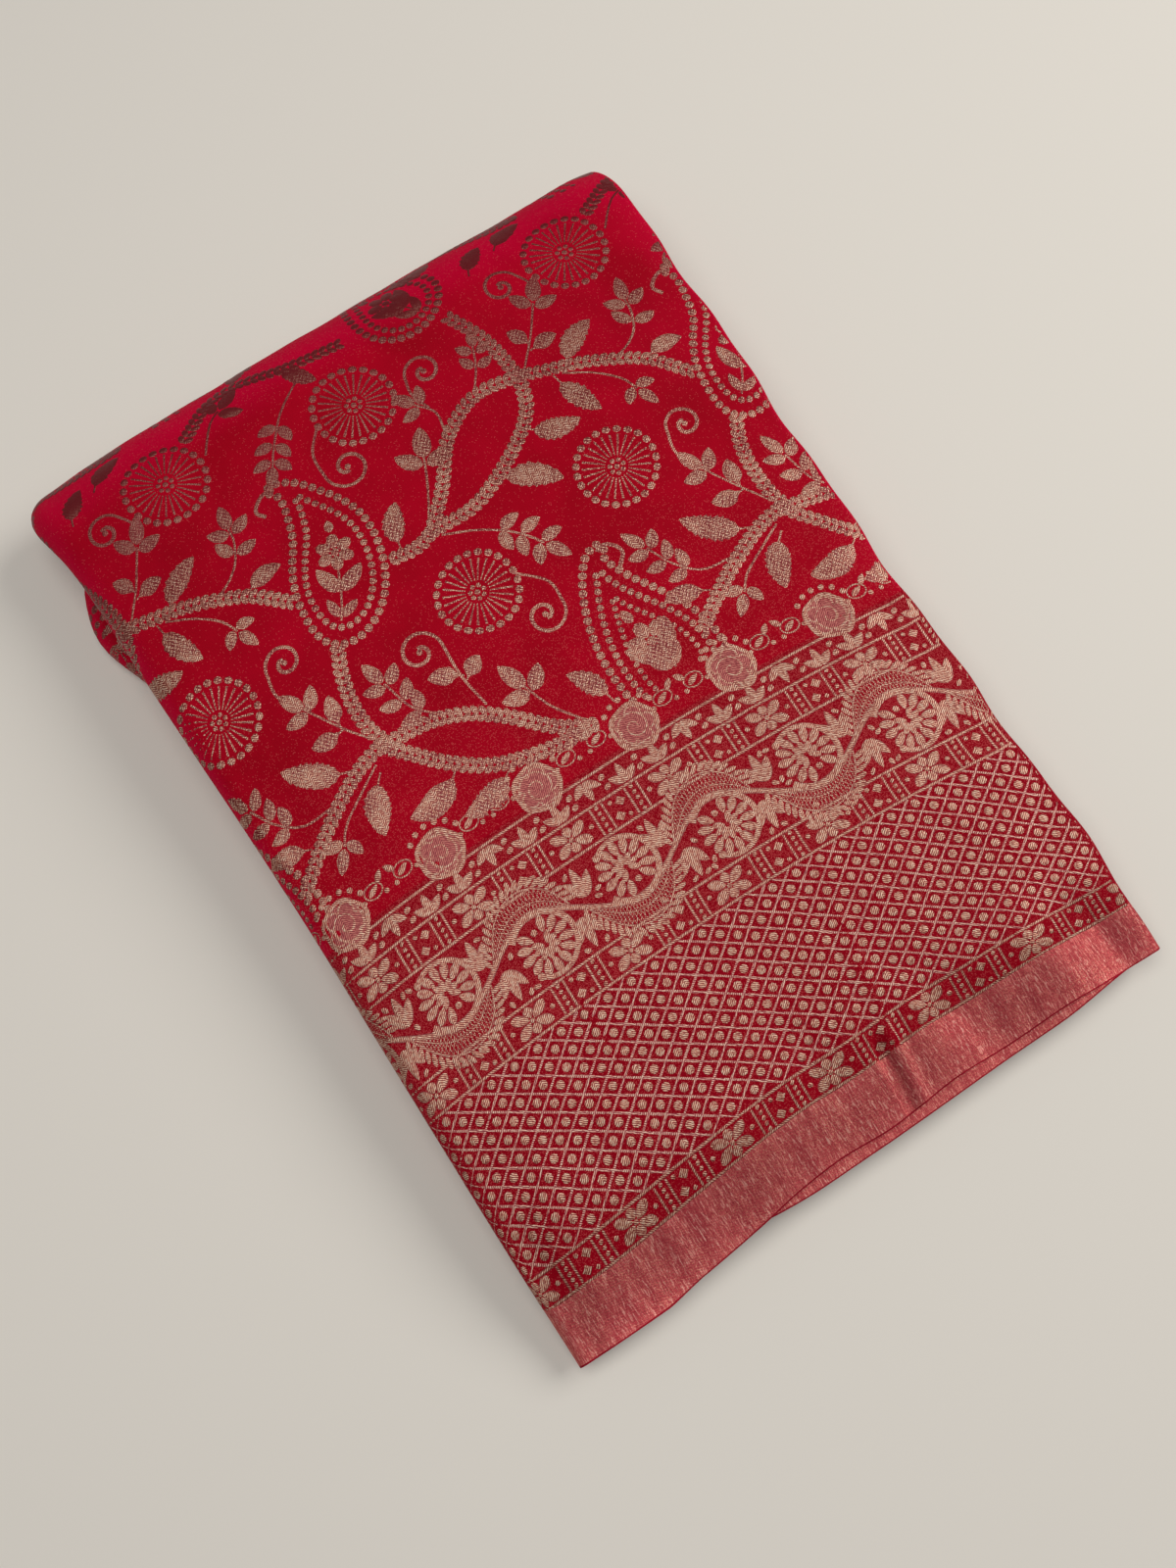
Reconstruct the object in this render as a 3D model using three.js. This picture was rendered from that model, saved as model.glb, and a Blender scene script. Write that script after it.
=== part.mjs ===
// A folded sari, as one solid of cloth. The long cloth is first pleated back and forth across the stack (X),
// with its outermost ply wrapped round the pleats, and the pleated strip is then folded in three along Y:
// the strip with the border lies on top, turns under at the far fold, runs back along the base,
// turns up at the near fold and ends between the other two strips.
// Millimetres, +Z up. The origin is under the middle of the stack, on the surface that it lies on.

import * as THREE from "three";

// Driving dimensions
const FOLDED_LENGTH = 370; // Y, from the longest selvedge hem to the far fold
const FOLDED_WIDTH = 236; // X, between the folds at the two sides of the top strip
const PLY = 1.0; // thickness of one ply of the solid
const FAR_PITCH = 2.7; // ply to ply, where the far fold keeps the plies apart
const NEAR_PITCH = 1.45; // ply to ply, at the flattened near fold
const HEM_PITCH = 1.35; // ply to ply, where the border lies down at the hem
const STRIP_GAP = 0.8; // between one strip and the next
const FAR_FOLD_REACH = 31; // from the end of the level top to the far fold's nose
const HEM_HEIGHT = 14; // top ply above the surface, at the hem
const NEAR_FOLD_SETBACK = 45; // near fold's centre, from the longest hem
const INNER_STRIP_SETBACK = 40; // hidden selvedge of the inner strip, from the far fold
const SIDE_DROOP = 0.13; // share of its height that the stack loses towards its sides
const SIDE_DROOP_POWER = 4;

// The pleats, in the order in which the cloth runs. level 0 is the outermost ply. start and finish are the
// shares of the half width where the flat of the ply begins and ends: -1 is the left side, +1 the right.
// The ply's selvedge bows out by hemBow, most at the share hemPeak of the half width.
const PLEATS = [
  { level: 1, start: -0.86, finish: 1.0, hemBow: 8.0, hemPeak: 0.25 },
  { level: 0, start: 1.0, finish: -1.0, hemBow: -4.0, hemPeak: -0.35 },
  { level: 5, start: -1.0, finish: 0.985, hemBow: -3.0, hemPeak: 0.1 },
  { level: 4, start: 0.985, finish: -0.975, hemBow: 2.0, hemPeak: -0.1 },
  { level: 3, start: -0.975, finish: 0.97, hemBow: 3.5, hemPeak: 0.0 },
  { level: 2, start: 0.97, finish: -0.98, hemBow: 1.0, hemPeak: 0.2 },
];
const LEVELS = PLEATS.length;
const LONGEST_HEM = Math.max(...PLEATS.map((pleat) => pleat.hemBow));
const HEM_BOW_REACH = 0.9; // half of a bow's length, as a share of the half width
const FLAT_STEPS = 6; // steps along the flat of a ply
const SIDE_TURN_STEPS = 4; // steps round a turn between neighbouring plies
const WRAP_TURN_STEPS = 7; // steps round the outermost ply's turn
const WRAP_TURN_REACH = 1.24; // how far that turn bulges sideways, as a share of half its height
const HALF_TURN = Math.PI;

// How far each strip's side folds stand out past the top strip's, at its near and far ends.
const STRIP_SIDES = {
  top: { leftNear: 0, leftFar: 0, rightNear: 0, rightFar: 0 },
  base: { leftNear: -5, leftFar: 3, rightNear: -2, rightFar: -4 },
  inner: { leftNear: -7, leftFar: -1, rightNear: -4, rightFar: -5 },
};

const thicknessAt = (pitch) => (LEVELS - 1) * pitch + PLY;
const mix = (a, b, share) => a + (b - a) * share;
const smooth = (share) => share * share * (3 - 2 * share);
const clamp = THREE.MathUtils.clamp;

// Heights and ends of the strips
const hemY = -FOLDED_LENGTH / 2;
const nearFoldY = hemY + NEAR_FOLD_SETBACK;
const topAtNearFold = 3 * thicknessAt(NEAR_PITCH) + 2 * STRIP_GAP - PLY / 2;
const topAtFarFold = 3 * thicknessAt(FAR_PITCH) + 2 * STRIP_GAP - PLY / 2;
const farFoldRise = (topAtFarFold - PLY / 2) / 2;
const farFoldY = FOLDED_LENGTH / 2 - PLY / 2 - FAR_FOLD_REACH;
const nearFoldRise = (2 * thicknessAt(NEAR_PITCH) + STRIP_GAP - PLY) / 2;
const innerEndY = FOLDED_LENGTH / 2 - INNER_STRIP_SETBACK;

// Ply spacing where the strips lie on each other, closing up from the far fold to the near one.
function pitchAt(y) {
  const share = clamp((y - nearFoldY) / (farFoldY - nearFoldY), 0, 1);
  return mix(NEAR_PITCH, FAR_PITCH, share);
}

// One station of the path: where the outermost ply is, which way the other plies lie from it, how far apart.
function station(strip, y, z, inward, pitch, hemShare = 0) {
  const share = clamp((y - hemY) / FOLDED_LENGTH, 0, 1);
  const sides = STRIP_SIDES[strip];
  const left = mix(sides.leftNear, sides.leftFar, share);
  const right = mix(sides.rightNear, sides.rightFar, share);
  return { y, z, inward, pitch, left, right, hemShare };
}

// Top strip: from the hem, up over the near fold, then rising gently to the far fold.
function topStrip() {
  const DRAPE_STEPS = 6;
  const LEVEL_STEPS = 7;
  const HEM_FADE_STEPS = 4;
  const DRAPE_SOFTNESS = 0.6;
  const made = [];
  for (let step = 0; step <= DRAPE_STEPS; step += 1) {
    const share = step / DRAPE_STEPS;
    const y = mix(hemY + LONGEST_HEM, nearFoldY, share);
    const rise = mix(share, smooth(share), DRAPE_SOFTNESS);
    const pitch = mix(HEM_PITCH, NEAR_PITCH, rise);
    const z = mix(HEM_HEIGHT - PLY / 2, topAtNearFold, rise);
    made.push(station("top", y, z, [0, -1], pitch, Math.max(0, 1 - step / HEM_FADE_STEPS)));
  }
  for (let step = 1; step <= LEVEL_STEPS; step += 1) {
    const y = mix(nearFoldY, farFoldY, step / LEVEL_STEPS);
    const z = 3 * thicknessAt(pitchAt(y)) + 2 * STRIP_GAP - PLY / 2;
    made.push(station("top", y, z, [0, -1], pitchAt(y)));
  }
  return made;
}

// A half turn from one strip to the next, round an ellipse inside the roll. outward is +1 at the far fold.
function halfTurn(strip, centreY, reach, rise, pitch, outward, steps) {
  const made = [];
  for (let step = 1; step < steps; step += 1) {
    const angle = (HALF_TURN * step) / steps;
    const across = outward * Math.sin(angle);
    const up = outward * Math.cos(angle);
    const normal = new THREE.Vector2(across / reach, up / rise).normalize();
    const centreZ = PLY / 2 + rise;
    made.push(station(strip, centreY + reach * across, centreZ + rise * up, [-normal.x, -normal.y], pitch));
  }
  return made;
}

// A strip between two folds, its outermost ply facing down on the base or up inside the roll.
function laidStrip(strip, fromY, toY, heightAt, inward, steps) {
  const made = [];
  for (let step = 0; step <= steps; step += 1) {
    const y = mix(fromY, toY, step / steps);
    made.push(station(strip, y, heightAt(y), inward, pitchAt(y)));
  }
  return made;
}

function foldPath() {
  const FAR_TURN_STEPS = 8;
  const NEAR_TURN_STEPS = 6;
  const BASE_STEPS = 5;
  const INNER_STEPS = 4;
  const innerTopAt = (y) => 2 * thicknessAt(pitchAt(y)) + STRIP_GAP - PLY / 2;
  return [
    ...topStrip(),
    ...halfTurn("top", farFoldY, FAR_FOLD_REACH, farFoldRise, FAR_PITCH, 1, FAR_TURN_STEPS),
    ...laidStrip("base", farFoldY, nearFoldY, () => PLY / 2, [0, 1], BASE_STEPS),
    ...halfTurn("base", nearFoldY, nearFoldRise, nearFoldRise, NEAR_PITCH, -1, NEAR_TURN_STEPS),
    ...laidStrip("inner", nearFoldY, innerEndY, innerTopAt, [0, -1], INNER_STEPS),
  ];
}

// How far a ply's selvedge reaches past a straight hem, at a share of the half width.
function hemReach(pleat, share) {
  const along = clamp((share - pleat.hemPeak) / HEM_BOW_REACH, -1, 1);
  return pleat.hemBow * Math.cos((HALF_TURN / 2) * along) ** 2;
}

// The middle line of the pleats across the stack, as points of x and depth below the outermost ply.
function pleatLine(at) {
  const half = (FOLDED_WIDTH - WRAP_TURN_REACH * (LEVELS - 1) * FAR_PITCH * 0.5) / 2;
  const middle = (WRAP_TURN_REACH * (LEVELS - 1) * FAR_PITCH * 0.5) / 2;
  const edge = (share) => middle + share * half + (share > 0 ? at.right : -at.left);
  const line = [];
  PLEATS.forEach((pleat, index) => {
    for (let step = 0; step <= FLAT_STEPS; step += 1) {
      const share = mix(pleat.start, pleat.finish, step / FLAT_STEPS);
      const x = mix(edge(pleat.start), edge(pleat.finish), step / FLAT_STEPS);
      line.push({ x, depth: pleat.level * at.pitch, hem: hemReach(pleat, share) });
    }
    const next = PLEATS[index + 1];
    if (!next) return;
    const side = Math.sign(pleat.finish);
    const rise = (next.level - pleat.level) * at.pitch;
    const wraps = Math.abs(next.level - pleat.level) > 1;
    const bulge = (Math.abs(rise) / 2) * (wraps ? WRAP_TURN_REACH : 1);
    const steps = wraps ? WRAP_TURN_STEPS : SIDE_TURN_STEPS;
    for (let step = 1; step < steps; step += 1) {
      const angle = (HALF_TURN * step) / steps;
      line.push({
        x: edge(pleat.finish) + side * bulge * Math.sin(angle),
        depth: pleat.level * at.pitch + (rise * (1 - Math.cos(angle))) / 2,
        hem: mix(hemReach(pleat, pleat.finish), hemReach(next, next.start), step / steps),
      });
    }
  });
  return line;
}

// The two faces of the cloth at one station, half a ply either side of the pleats' middle line.
function clothFaces(at) {
  const line = pleatLine(at);
  return [-1, 1].map((side) =>
    line.map((point, index) => {
      const before = line[Math.max(0, index - 1)];
      const after = line[Math.min(line.length - 1, index + 1)];
      const run = Math.hypot(after.x - before.x, after.depth - before.depth);
      const x = point.x - (side * PLY * (after.depth - before.depth)) / (2 * run);
      const depth = point.depth + (side * PLY * (after.x - before.x)) / (2 * run);
      const sideShare = Math.min(1, Math.abs(x) / (FOLDED_WIDTH / 2));
      const settle = 1 - SIDE_DROOP * sideShare ** SIDE_DROOP_POWER;
      const y = at.y + at.inward[0] * depth - at.hemShare * point.hem;
      const z = (at.z + at.inward[1] * depth) * settle;
      return new THREE.Vector3(x, y, z);
    }),
  );
}

// The closed skin of the cloth: two faces, two cut ends and two selvedges, centred over the origin.
function clothGeometry() {
  const stations = foldPath().map(clothFaces);
  const points = stations[0][0].length;
  const lastPoint = points - 1;
  const lastRow = stations.length - 1;
  const positions = stations.flat(2).flatMap((p) => [p.x, p.y, p.z]);
  const vertex = (row, face, point) => (row * 2 + face) * points + point;
  const index = [];
  const quad = (...corners) => {
    const [a, b, c, d] = corners.map((corner) => vertex(...corner));
    index.push(a, b, c, a, c, d);
  };
  for (let row = 0; row < lastRow; row += 1) {
    for (let point = 0; point < lastPoint; point += 1) {
      quad([row, 0, point], [row, 0, point + 1], [row + 1, 0, point + 1], [row + 1, 0, point]);
      quad([row, 1, point], [row + 1, 1, point], [row + 1, 1, point + 1], [row, 1, point + 1]);
    }
    quad([row, 0, 0], [row + 1, 0, 0], [row + 1, 1, 0], [row, 1, 0]);
    quad([row, 0, lastPoint], [row, 1, lastPoint], [row + 1, 1, lastPoint], [row + 1, 0, lastPoint]);
  }
  for (let point = 0; point < lastPoint; point += 1) {
    quad([0, 0, point], [0, 1, point], [0, 1, point + 1], [0, 0, point + 1]);
    quad([lastRow, 0, point], [lastRow, 0, point + 1], [lastRow, 1, point + 1], [lastRow, 1, point]);
  }
  const geometry = new THREE.BufferGeometry();
  geometry.setAttribute("position", new THREE.Float32BufferAttribute(positions, 3));
  geometry.setIndex(index);
  geometry.computeVertexNormals();
  geometry.computeBoundingBox();
  const centre = geometry.boundingBox.getCenter(new THREE.Vector3());
  geometry.translate(-centre.x, -centre.y, 0);
  return geometry;
}

const brocade = new THREE.MeshStandardMaterial({ color: 0xa8081f, roughness: 0.62, metalness: 0.0 });
brocade.name = "crimson_brocade";
const sari = new THREE.Mesh(clothGeometry(), brocade);
sari.name = "sari";

const part = new THREE.Group();
part.name = "folded_sari";
part.add(sari);

export default part;
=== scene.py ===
import math

import bpy
import numpy as np
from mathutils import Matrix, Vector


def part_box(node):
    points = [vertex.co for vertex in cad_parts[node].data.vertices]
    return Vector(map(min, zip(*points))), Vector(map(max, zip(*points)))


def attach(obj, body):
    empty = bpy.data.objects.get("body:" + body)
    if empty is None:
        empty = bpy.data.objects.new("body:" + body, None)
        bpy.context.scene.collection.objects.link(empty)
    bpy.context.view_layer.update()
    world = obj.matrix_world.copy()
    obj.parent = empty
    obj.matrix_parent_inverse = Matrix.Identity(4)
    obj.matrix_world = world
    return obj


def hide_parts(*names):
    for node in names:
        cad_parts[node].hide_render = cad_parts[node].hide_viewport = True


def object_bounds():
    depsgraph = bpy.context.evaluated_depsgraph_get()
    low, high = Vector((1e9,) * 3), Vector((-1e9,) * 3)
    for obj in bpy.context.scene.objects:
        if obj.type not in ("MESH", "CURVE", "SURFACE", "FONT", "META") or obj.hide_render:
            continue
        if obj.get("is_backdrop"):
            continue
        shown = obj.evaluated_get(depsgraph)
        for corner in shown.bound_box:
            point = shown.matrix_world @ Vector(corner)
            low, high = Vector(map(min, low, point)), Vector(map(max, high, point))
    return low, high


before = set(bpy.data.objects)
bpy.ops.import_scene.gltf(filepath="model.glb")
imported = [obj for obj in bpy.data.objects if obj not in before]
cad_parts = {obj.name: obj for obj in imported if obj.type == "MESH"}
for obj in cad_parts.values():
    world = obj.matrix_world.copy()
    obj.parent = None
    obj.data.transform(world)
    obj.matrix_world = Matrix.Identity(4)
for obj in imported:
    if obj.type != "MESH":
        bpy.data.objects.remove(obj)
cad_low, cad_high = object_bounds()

MM = 0.001
sari_low, sari_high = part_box("sari")
PLY_LEVELS = 25                 # levels in one strip: outermost ply, two left free, its flap, 21 pleats
SHEET = 0.3 * MM
HALF_WIDTH = 118 * MM           # of the top strip
STRIP_FAR = 14.2 * MM           # thickness of one strip's plies at the far fold
STRIP_NEAR = 7.9 * MM
STRIP_HEM = 7.2 * MM
STRIP_GAP = 0.9 * MM
HEM_SETBACK = 6 * MM            # straight hem line, from the front of the solid
HEM_HEIGHT = 14 * MM
NEAR_FOLD_SETBACK = 45 * MM
FAR_FOLD_REACH = 31 * MM
INNER_END_SETBACK = 40 * MM
SHOULDER_LENGTH = 75 * MM       # where the top begins to fall away towards the far fold
SHOULDER_DROP = 3.5 * MM
FOLD_SOFTNESS = 3.0 * MM
SIDE_DROOP = 0.10               # share of the height lost at the sides, in a sharp and in a broad curve
SIDE_CROWN = 0.06
WRAP_REACH = 1.24               # sideways bulge of the wrapped ply, against half a strip's thickness
BOW_AT_HEM = 9 * MM             # the weave's cross lines bow away from the hem in the middle
BOW_AT_FAR = 4 * MM
BOW_FADE = 120 * MM
POKE = 10 * MM                  # how far the lower fold stands out at the far left
POKE_AT = 24 * MM               # its middle, past the end of the far fold
POKE_LENGTH = 24 * MM
NOSE = 5 * MM                   # how far the far fold's left end sticks out
NOSE_LENGTH = 24 * MM
FAR_SPREAD = 0.045              # the stack widens towards its far fold, which springs open
SPREAD_START = 150 * MM
SPREAD_LENGTH = 200 * MM
HEM_EASE = 60 * MM              # length over which the cloth takes up the pull of its hem
# How far the sides of the base and of the inner strip stand out past those of the top strip, in mm: at the
# hem, and what the far end adds.
BASE_LEFT, BASE_RIGHT = (-5, 9), (-2, -2)
INNER_LEFT, INNER_RIGHT = (-6, 5), (-4, 0)
EDGE_WAVER = ((11, 0.6, 0), (5.3, 0.4, 1))      # right side's waves: length and height in mm, phase
UNDER_ROOM = 0.5                # mm that the plies keep clear of the outermost one's troughs
UNDER_ROOM_HEM = 1.9            # mm more near the hem
UNDER_ROOM_REACH = 70 * MM
CREASE_HEIGHT = 24 * MM         # creases fade out below this height
# How far the hem of the outermost ply, and of its flap under it, is pulled back, in mm against x's share.
HEM_PULL = (
    (-1, 0), (-0.86, -0.6), (-0.73, -0.4), (-0.6, 1.4), (-0.37, 5.0), (-0.24, 7.4), (-0.1, 8.4),
    (0.07, 6.8), (0.3, 9), (0.48, 7.6), (0.67, 8), (0.83, 6.5), (1, 5.5),
)
FLAP_PULL = (
    (-1, 2.5), (-0.73, 2), (-0.6, 3.8), (-0.42, 6.4), (-0.32, 4.6), (-0.2, 3.4),
    (0.05, 3.2), (0.3, 3.6), (0.43, 3.8), (0.67, 3.8), (0.83, 5.6), (1, 6.5),
)
TOP_STEPS, TURN_STEPS, BASE_STEPS, INNER_STEPS = 700, 198, 300, 200
PATH_STEP = 0.5 * MM
EASE_STEPS = 24

hem_y = sari_low.y + HEM_SETBACK
near_y = sari_low.y + NEAR_FOLD_SETBACK
far_y = sari_high.y - FAR_FOLD_REACH
inner_end_y = sari_high.y - INNER_END_SETBACK


def smooth(share):
    share = np.clip(share, 0, 1)
    return share * share * (3 - 2 * share)


def fold_line():
    """Outermost ply's line through the folds: y, z, strip thickness and the strip that it belongs to."""
    y = np.linspace(hem_y, far_y, TOP_STEPS)
    drape = np.clip((y - hem_y) / (near_y - hem_y), 0, 1)
    drape = 0.4 * drape + 0.6 * smooth(drape)
    level = np.clip((y - near_y) / (far_y - near_y), 0, 1)
    thick = STRIP_NEAR + (STRIP_FAR - STRIP_NEAR) * level
    top = 3 * thick + 2 * STRIP_GAP
    top = np.where(y < near_y, HEM_HEIGHT + (top[0] - HEM_HEIGHT) * drape, top)
    top -= SHOULDER_DROP * smooth((y - far_y + SHOULDER_LENGTH) / SHOULDER_LENGTH)
    thick = np.where(y < near_y, STRIP_HEM + (STRIP_NEAR - STRIP_HEM) * drape, thick)
    far_rise = top[-1] / 2
    near_rise = STRIP_NEAR + STRIP_GAP / 2
    turn = np.linspace(0, math.pi, TURN_STEPS + 2)[1:-1]
    flat_y = np.linspace(far_y, near_y, BASE_STEPS)
    flat_thick = np.interp(flat_y, y, thick)
    inner_y = np.linspace(near_y, inner_end_y, INNER_STEPS)
    inner_thick = np.interp(inner_y, y, thick)
    parts = (
        (y, top, thick, 0),
        (far_y + FAR_FOLD_REACH * np.sin(turn), far_rise * (1 + np.cos(turn)), 0 * turn + STRIP_FAR, 0),
        (flat_y, 0 * flat_y, flat_thick, 1),
        (near_y - near_rise * np.sin(turn), near_rise * (1 - np.cos(turn)), 0 * turn + STRIP_NEAR, 1),
        (inner_y, 2 * inner_thick + STRIP_GAP, inner_thick, 2),
    )
    columns = []
    for k in range(4):
        column = np.concatenate([np.broadcast_to(part[k], part[0].shape) for part in parts])
        columns.append(column.astype(float))
    return columns


line_y, line_z, line_thick, line_strip = fold_line()
line_s = np.concatenate([[0], np.cumsum(np.hypot(np.diff(line_y), np.diff(line_z)))])
even_s = np.arange(0, line_s[-1], PATH_STEP)
kernel = np.exp(-0.5 * (np.arange(-EASE_STEPS, EASE_STEPS + 1) * PATH_STEP / FOLD_SOFTNESS) ** 2)
kernel /= kernel.sum()


def eased(values):
    even = np.interp(even_s, line_s, values)
    return np.convolve(np.pad(even, EASE_STEPS, mode="edge"), kernel, mode="valid")


path_y, path_z, path_thick = eased(line_y), eased(line_z), eased(line_thick)
# The hem itself stays on its line.
path_y[:3] = line_y[0] + (path_y[3] - line_y[0]) * np.arange(3) / 3
path_base = np.clip(eased((line_strip == 1).astype(float)), 0, 1)
path_inner = np.clip(eased((line_strip == 2).astype(float)), 0, 1)
run_y, run_z = np.gradient(path_y), np.gradient(path_z)
run = np.hypot(run_y, run_z)
inward_y, inward_z = run_z / run, -run_y / run
sheet_length = even_s[-1]
top_end = np.interp(far_y, line_y[:TOP_STEPS], line_s[:TOP_STEPS])
far_end = line_s[TOP_STEPS + TURN_STEPS]
base_end = line_s[TOP_STEPS + TURN_STEPS + BASE_STEPS]
near_end = line_s[TOP_STEPS + 2 * TURN_STEPS + BASE_STEPS]

# Soft troughs and ridges where the cloth creased or waves. x is across the stack, d is from the hem line.
# The last column is how far the crease stands up, or dips if it is negative.
CREASES = (
    # x0, d0, x1, d1, half width, height, all in mm
    (15.5, -4, 18.5, 30, 2.0, -1.7),
    (19, 30, 26, 74, 2.2, -0.45),
    (20.5, -4, 23.5, 30, 2.2, 2.1),
    (25, 30, 31, 70, 2.6, 0.4),
    (-58, 74, -58, 106, 1.6, -0.22),
    (-55, 74, -55, 106, 1.6, 0.22),
    (56, -4, 50, 22, 11, -3.2),
    (84, -4, 80, 28, 12, 3.2),
    (106, -4, 103, 24, 7, -2.4),
    (-4, -4, -2, 30, 10, -2.2),
    (-40, -4, -36, 36, 14, 2.0),
    (-78, -4, -74, 30, 12, -1.4),
    (-114, -4, -112, 34, 8, -3.4),
    (-112, 344, -112, 300, 22, -1.1),
    (108, 352, 112, 320, 16, 2.0),
    (-20, 210, 40, 235, 26, 0.9),
    (30, 290, -60, 300, 22, -0.9),
    (70, 150, 88, 240, 22, -0.8),
    (-84, 120, -70, 220, 24, 0.8),
)
# Broad unevenness of a soft stack: lengths of the waves across and along, height, all in mm, and phase.
PUCKERS = ((61, 143, 0.35, 0.4), (37, 71, 0.22, 1.9), (23, 47, 0.14, 4.1), (13, 29, 0.08, 2.6))


def crease_height(x, y):
    x, d = x / MM, (y - hem_y) / MM
    height = np.zeros(np.broadcast(x, d).shape)
    for x0, d0, x1, d1, half, rise in CREASES:
        length = math.hypot(x1 - x0, d1 - d0)
        ux, ud = (x1 - x0) / length, (d1 - d0) / length
        along = (x - x0) * ux + (d - d0) * ud
        across = (x - x0) * ud - (d - d0) * ux
        past = np.maximum(0, np.maximum(-along, along - length))
        height += rise * np.exp(-(across / half) ** 2 - (past / (2 * half)) ** 2)
    for wave_x, wave_y, rise, phase in PUCKERS:
        pucker = np.sin(2 * math.pi * x / wave_x + phase) * np.cos(2 * math.pi * d / wave_y + 2 * phase)
        height += rise * pucker
    return height * MM


def lay_cloth(x, s, depth, under=0.0):
    """Place of the cloth at x across the stack, s along the fold line and a depth under the outermost ply.

    Plies under the outermost follow its creases less and keep clear of its troughs."""
    at = [np.interp(s, even_s, values) for values in (path_y, path_z, inward_y, inward_z)]
    y, z = at[0] + at[2] * depth, at[1] + at[3] * depth
    base, inner = np.interp(s, even_s, path_base), np.interp(s, even_s, path_inner)
    far_share = np.clip((y - hem_y) / (far_y - hem_y), 0, 1)
    on_top = (1 - base) * (1 - inner)
    left_out = base * (BASE_LEFT[0] + BASE_LEFT[1] * far_share) * MM
    left_out += inner * (INNER_LEFT[0] + INNER_LEFT[1] * far_share) * MM
    left_out += base * POKE * np.exp(-((s - far_end - POKE_AT) / POKE_LENGTH) ** 2)
    left_out += on_top * NOSE * np.exp(-((s - top_end - NOSE_LENGTH) / NOSE_LENGTH) ** 2)
    right_out = base * (BASE_RIGHT[0] + BASE_RIGHT[1] * far_share) * MM
    right_out += inner * (INNER_RIGHT[0] + INNER_RIGHT[1] * far_share) * MM
    for length, height, phase in EDGE_WAVER:
        right_out += height * MM * np.sin(y / (length * MM) + phase)
    share = np.clip(x / HALF_WIDTH, -1.1, 1.1)
    x = x - left_out * (1 - share) / 2 + right_out * (1 + share) / 2
    droop = 1 - SIDE_DROOP * np.abs(share) ** 5 - SIDE_CROWN * share ** 2
    spread = 1 + FAR_SPREAD * smooth((s - SPREAD_START) / SPREAD_LENGTH) * on_top
    lift = crease_height(x, y)
    room = UNDER_ROOM + UNDER_ROOM_HEM * np.exp(-((y - hem_y) / UNDER_ROOM_REACH) ** 2)
    lift = lift * (1 - under) - room * MM * np.clip(under * 1.25, 0, 1)
    lift *= np.clip(z / CREASE_HEIGHT, 0, 1)
    x = x * spread
    return np.stack([x, y, np.maximum(z * droop + lift, SHEET / 2)], axis=-1)


# Rows of the sheet's grid: from, to and step in mm.
ROW_STEPS = (
    (0, top_end, 1.8),
    (top_end, far_end, 1.8),
    (far_end, base_end, 5),
    (base_end, near_end, 1.3),
    (near_end, sheet_length, 14),
)
row_s = np.concatenate([np.arange(start, end, step * MM) for start, end, step in ROW_STEPS])
row_thick = np.interp(row_s, even_s, path_thick)


def bow(share, s):
    """How far the weave's cross lines lie from a straight line across the outermost ply."""
    depth = BOW_AT_FAR + (BOW_AT_HEM - BOW_AT_FAR) * np.exp(-s / BOW_FADE)
    return depth * (1 - np.clip(np.abs(share + 0.06), 0, 1) ** 2.2)


def grid_quads(number):
    """Faces of a grid of numbered points."""
    corners = [number[:-1, :-1], number[:-1, 1:], number[1:, 1:], number[1:, :-1]]
    return np.stack(corners, axis=-1).reshape(-1, 4)


class Sheet:
    """Grid of cloth points with a flat place in metres for each: u along the sari, v from its selvedge."""

    def __init__(self):
        self.points, self.flat, self.faces, self.count = [], [], [], 0

    def add(self, points, flat):
        rows, columns = points.shape[:2]
        number = np.arange(rows * columns).reshape(rows, columns) + self.count
        self.faces.append(grid_quads(number))
        self.points.append(points.reshape(-1, 3))
        self.flat.append(flat.reshape(-1, 2))
        self.count += rows * columns


def uneven(rng, spread):
    return (rng.random() - 0.5) * 2 * spread


sheet = Sheet()
rng = np.random.default_rng(7)
FLAP_LEVEL = 3                  # level of the plies at which the flap lies
FLAP_UNDER = 0.35               # how far the flap counts as lying under the outermost ply
WRAP_ARC = 19.5 * MM            # cloth in the wrap at the left
EDGE_ARC = 1.5 * MM             # cloth in the turn to the flap at the right
WRAP_END = 8 * MM               # flat place of the wrap's upper end, from the left side
EDGE_INSET = 1.0 * MM
wrap_angle = np.linspace(math.pi, 0, 15)[:-1]
outer_share = np.linspace(0, 1, 132)
edge_turn = np.linspace(0, math.pi, 6)[1:-1]
flap_share = np.linspace(1, -0.9, 40)

# Outermost ply with its wrap at the left and its flap at the right, as columns from the wrap's lower end.
s, thick = row_s[:, None], row_thick[:, None]
wrap_bulge = WRAP_REACH * thick / 2
left_x = -HALF_WIDTH + wrap_bulge
right_x = HALF_WIDTH - EDGE_INSET
pitch = thick / (PLY_LEVELS - 1)
wrap_x = left_x - wrap_bulge * np.sin(wrap_angle)
wrap_depth = thick * (1 - np.cos(wrap_angle)) / 2
wrap_u = -HALF_WIDTH + WRAP_END - WRAP_ARC * wrap_angle / math.pi
flat_x = left_x + (right_x - left_x) * outer_share
flat_u = -HALF_WIDTH + WRAP_END + (2 * HALF_WIDTH - WRAP_END - EDGE_INSET) * outer_share
edge_x = right_x + EDGE_INSET * np.sin(edge_turn)
edge_depth = FLAP_LEVEL * pitch * (1 - np.cos(edge_turn)) / 2
edge_u = flat_u[-1] + EDGE_ARC * edge_turn / math.pi
flap_x = right_x * flap_share + 0 * s
flap_depth = 0 * flap_x + FLAP_LEVEL * pitch
flap_u = flat_u[-1] + EDGE_ARC + right_x * (1 - flap_share)
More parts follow.
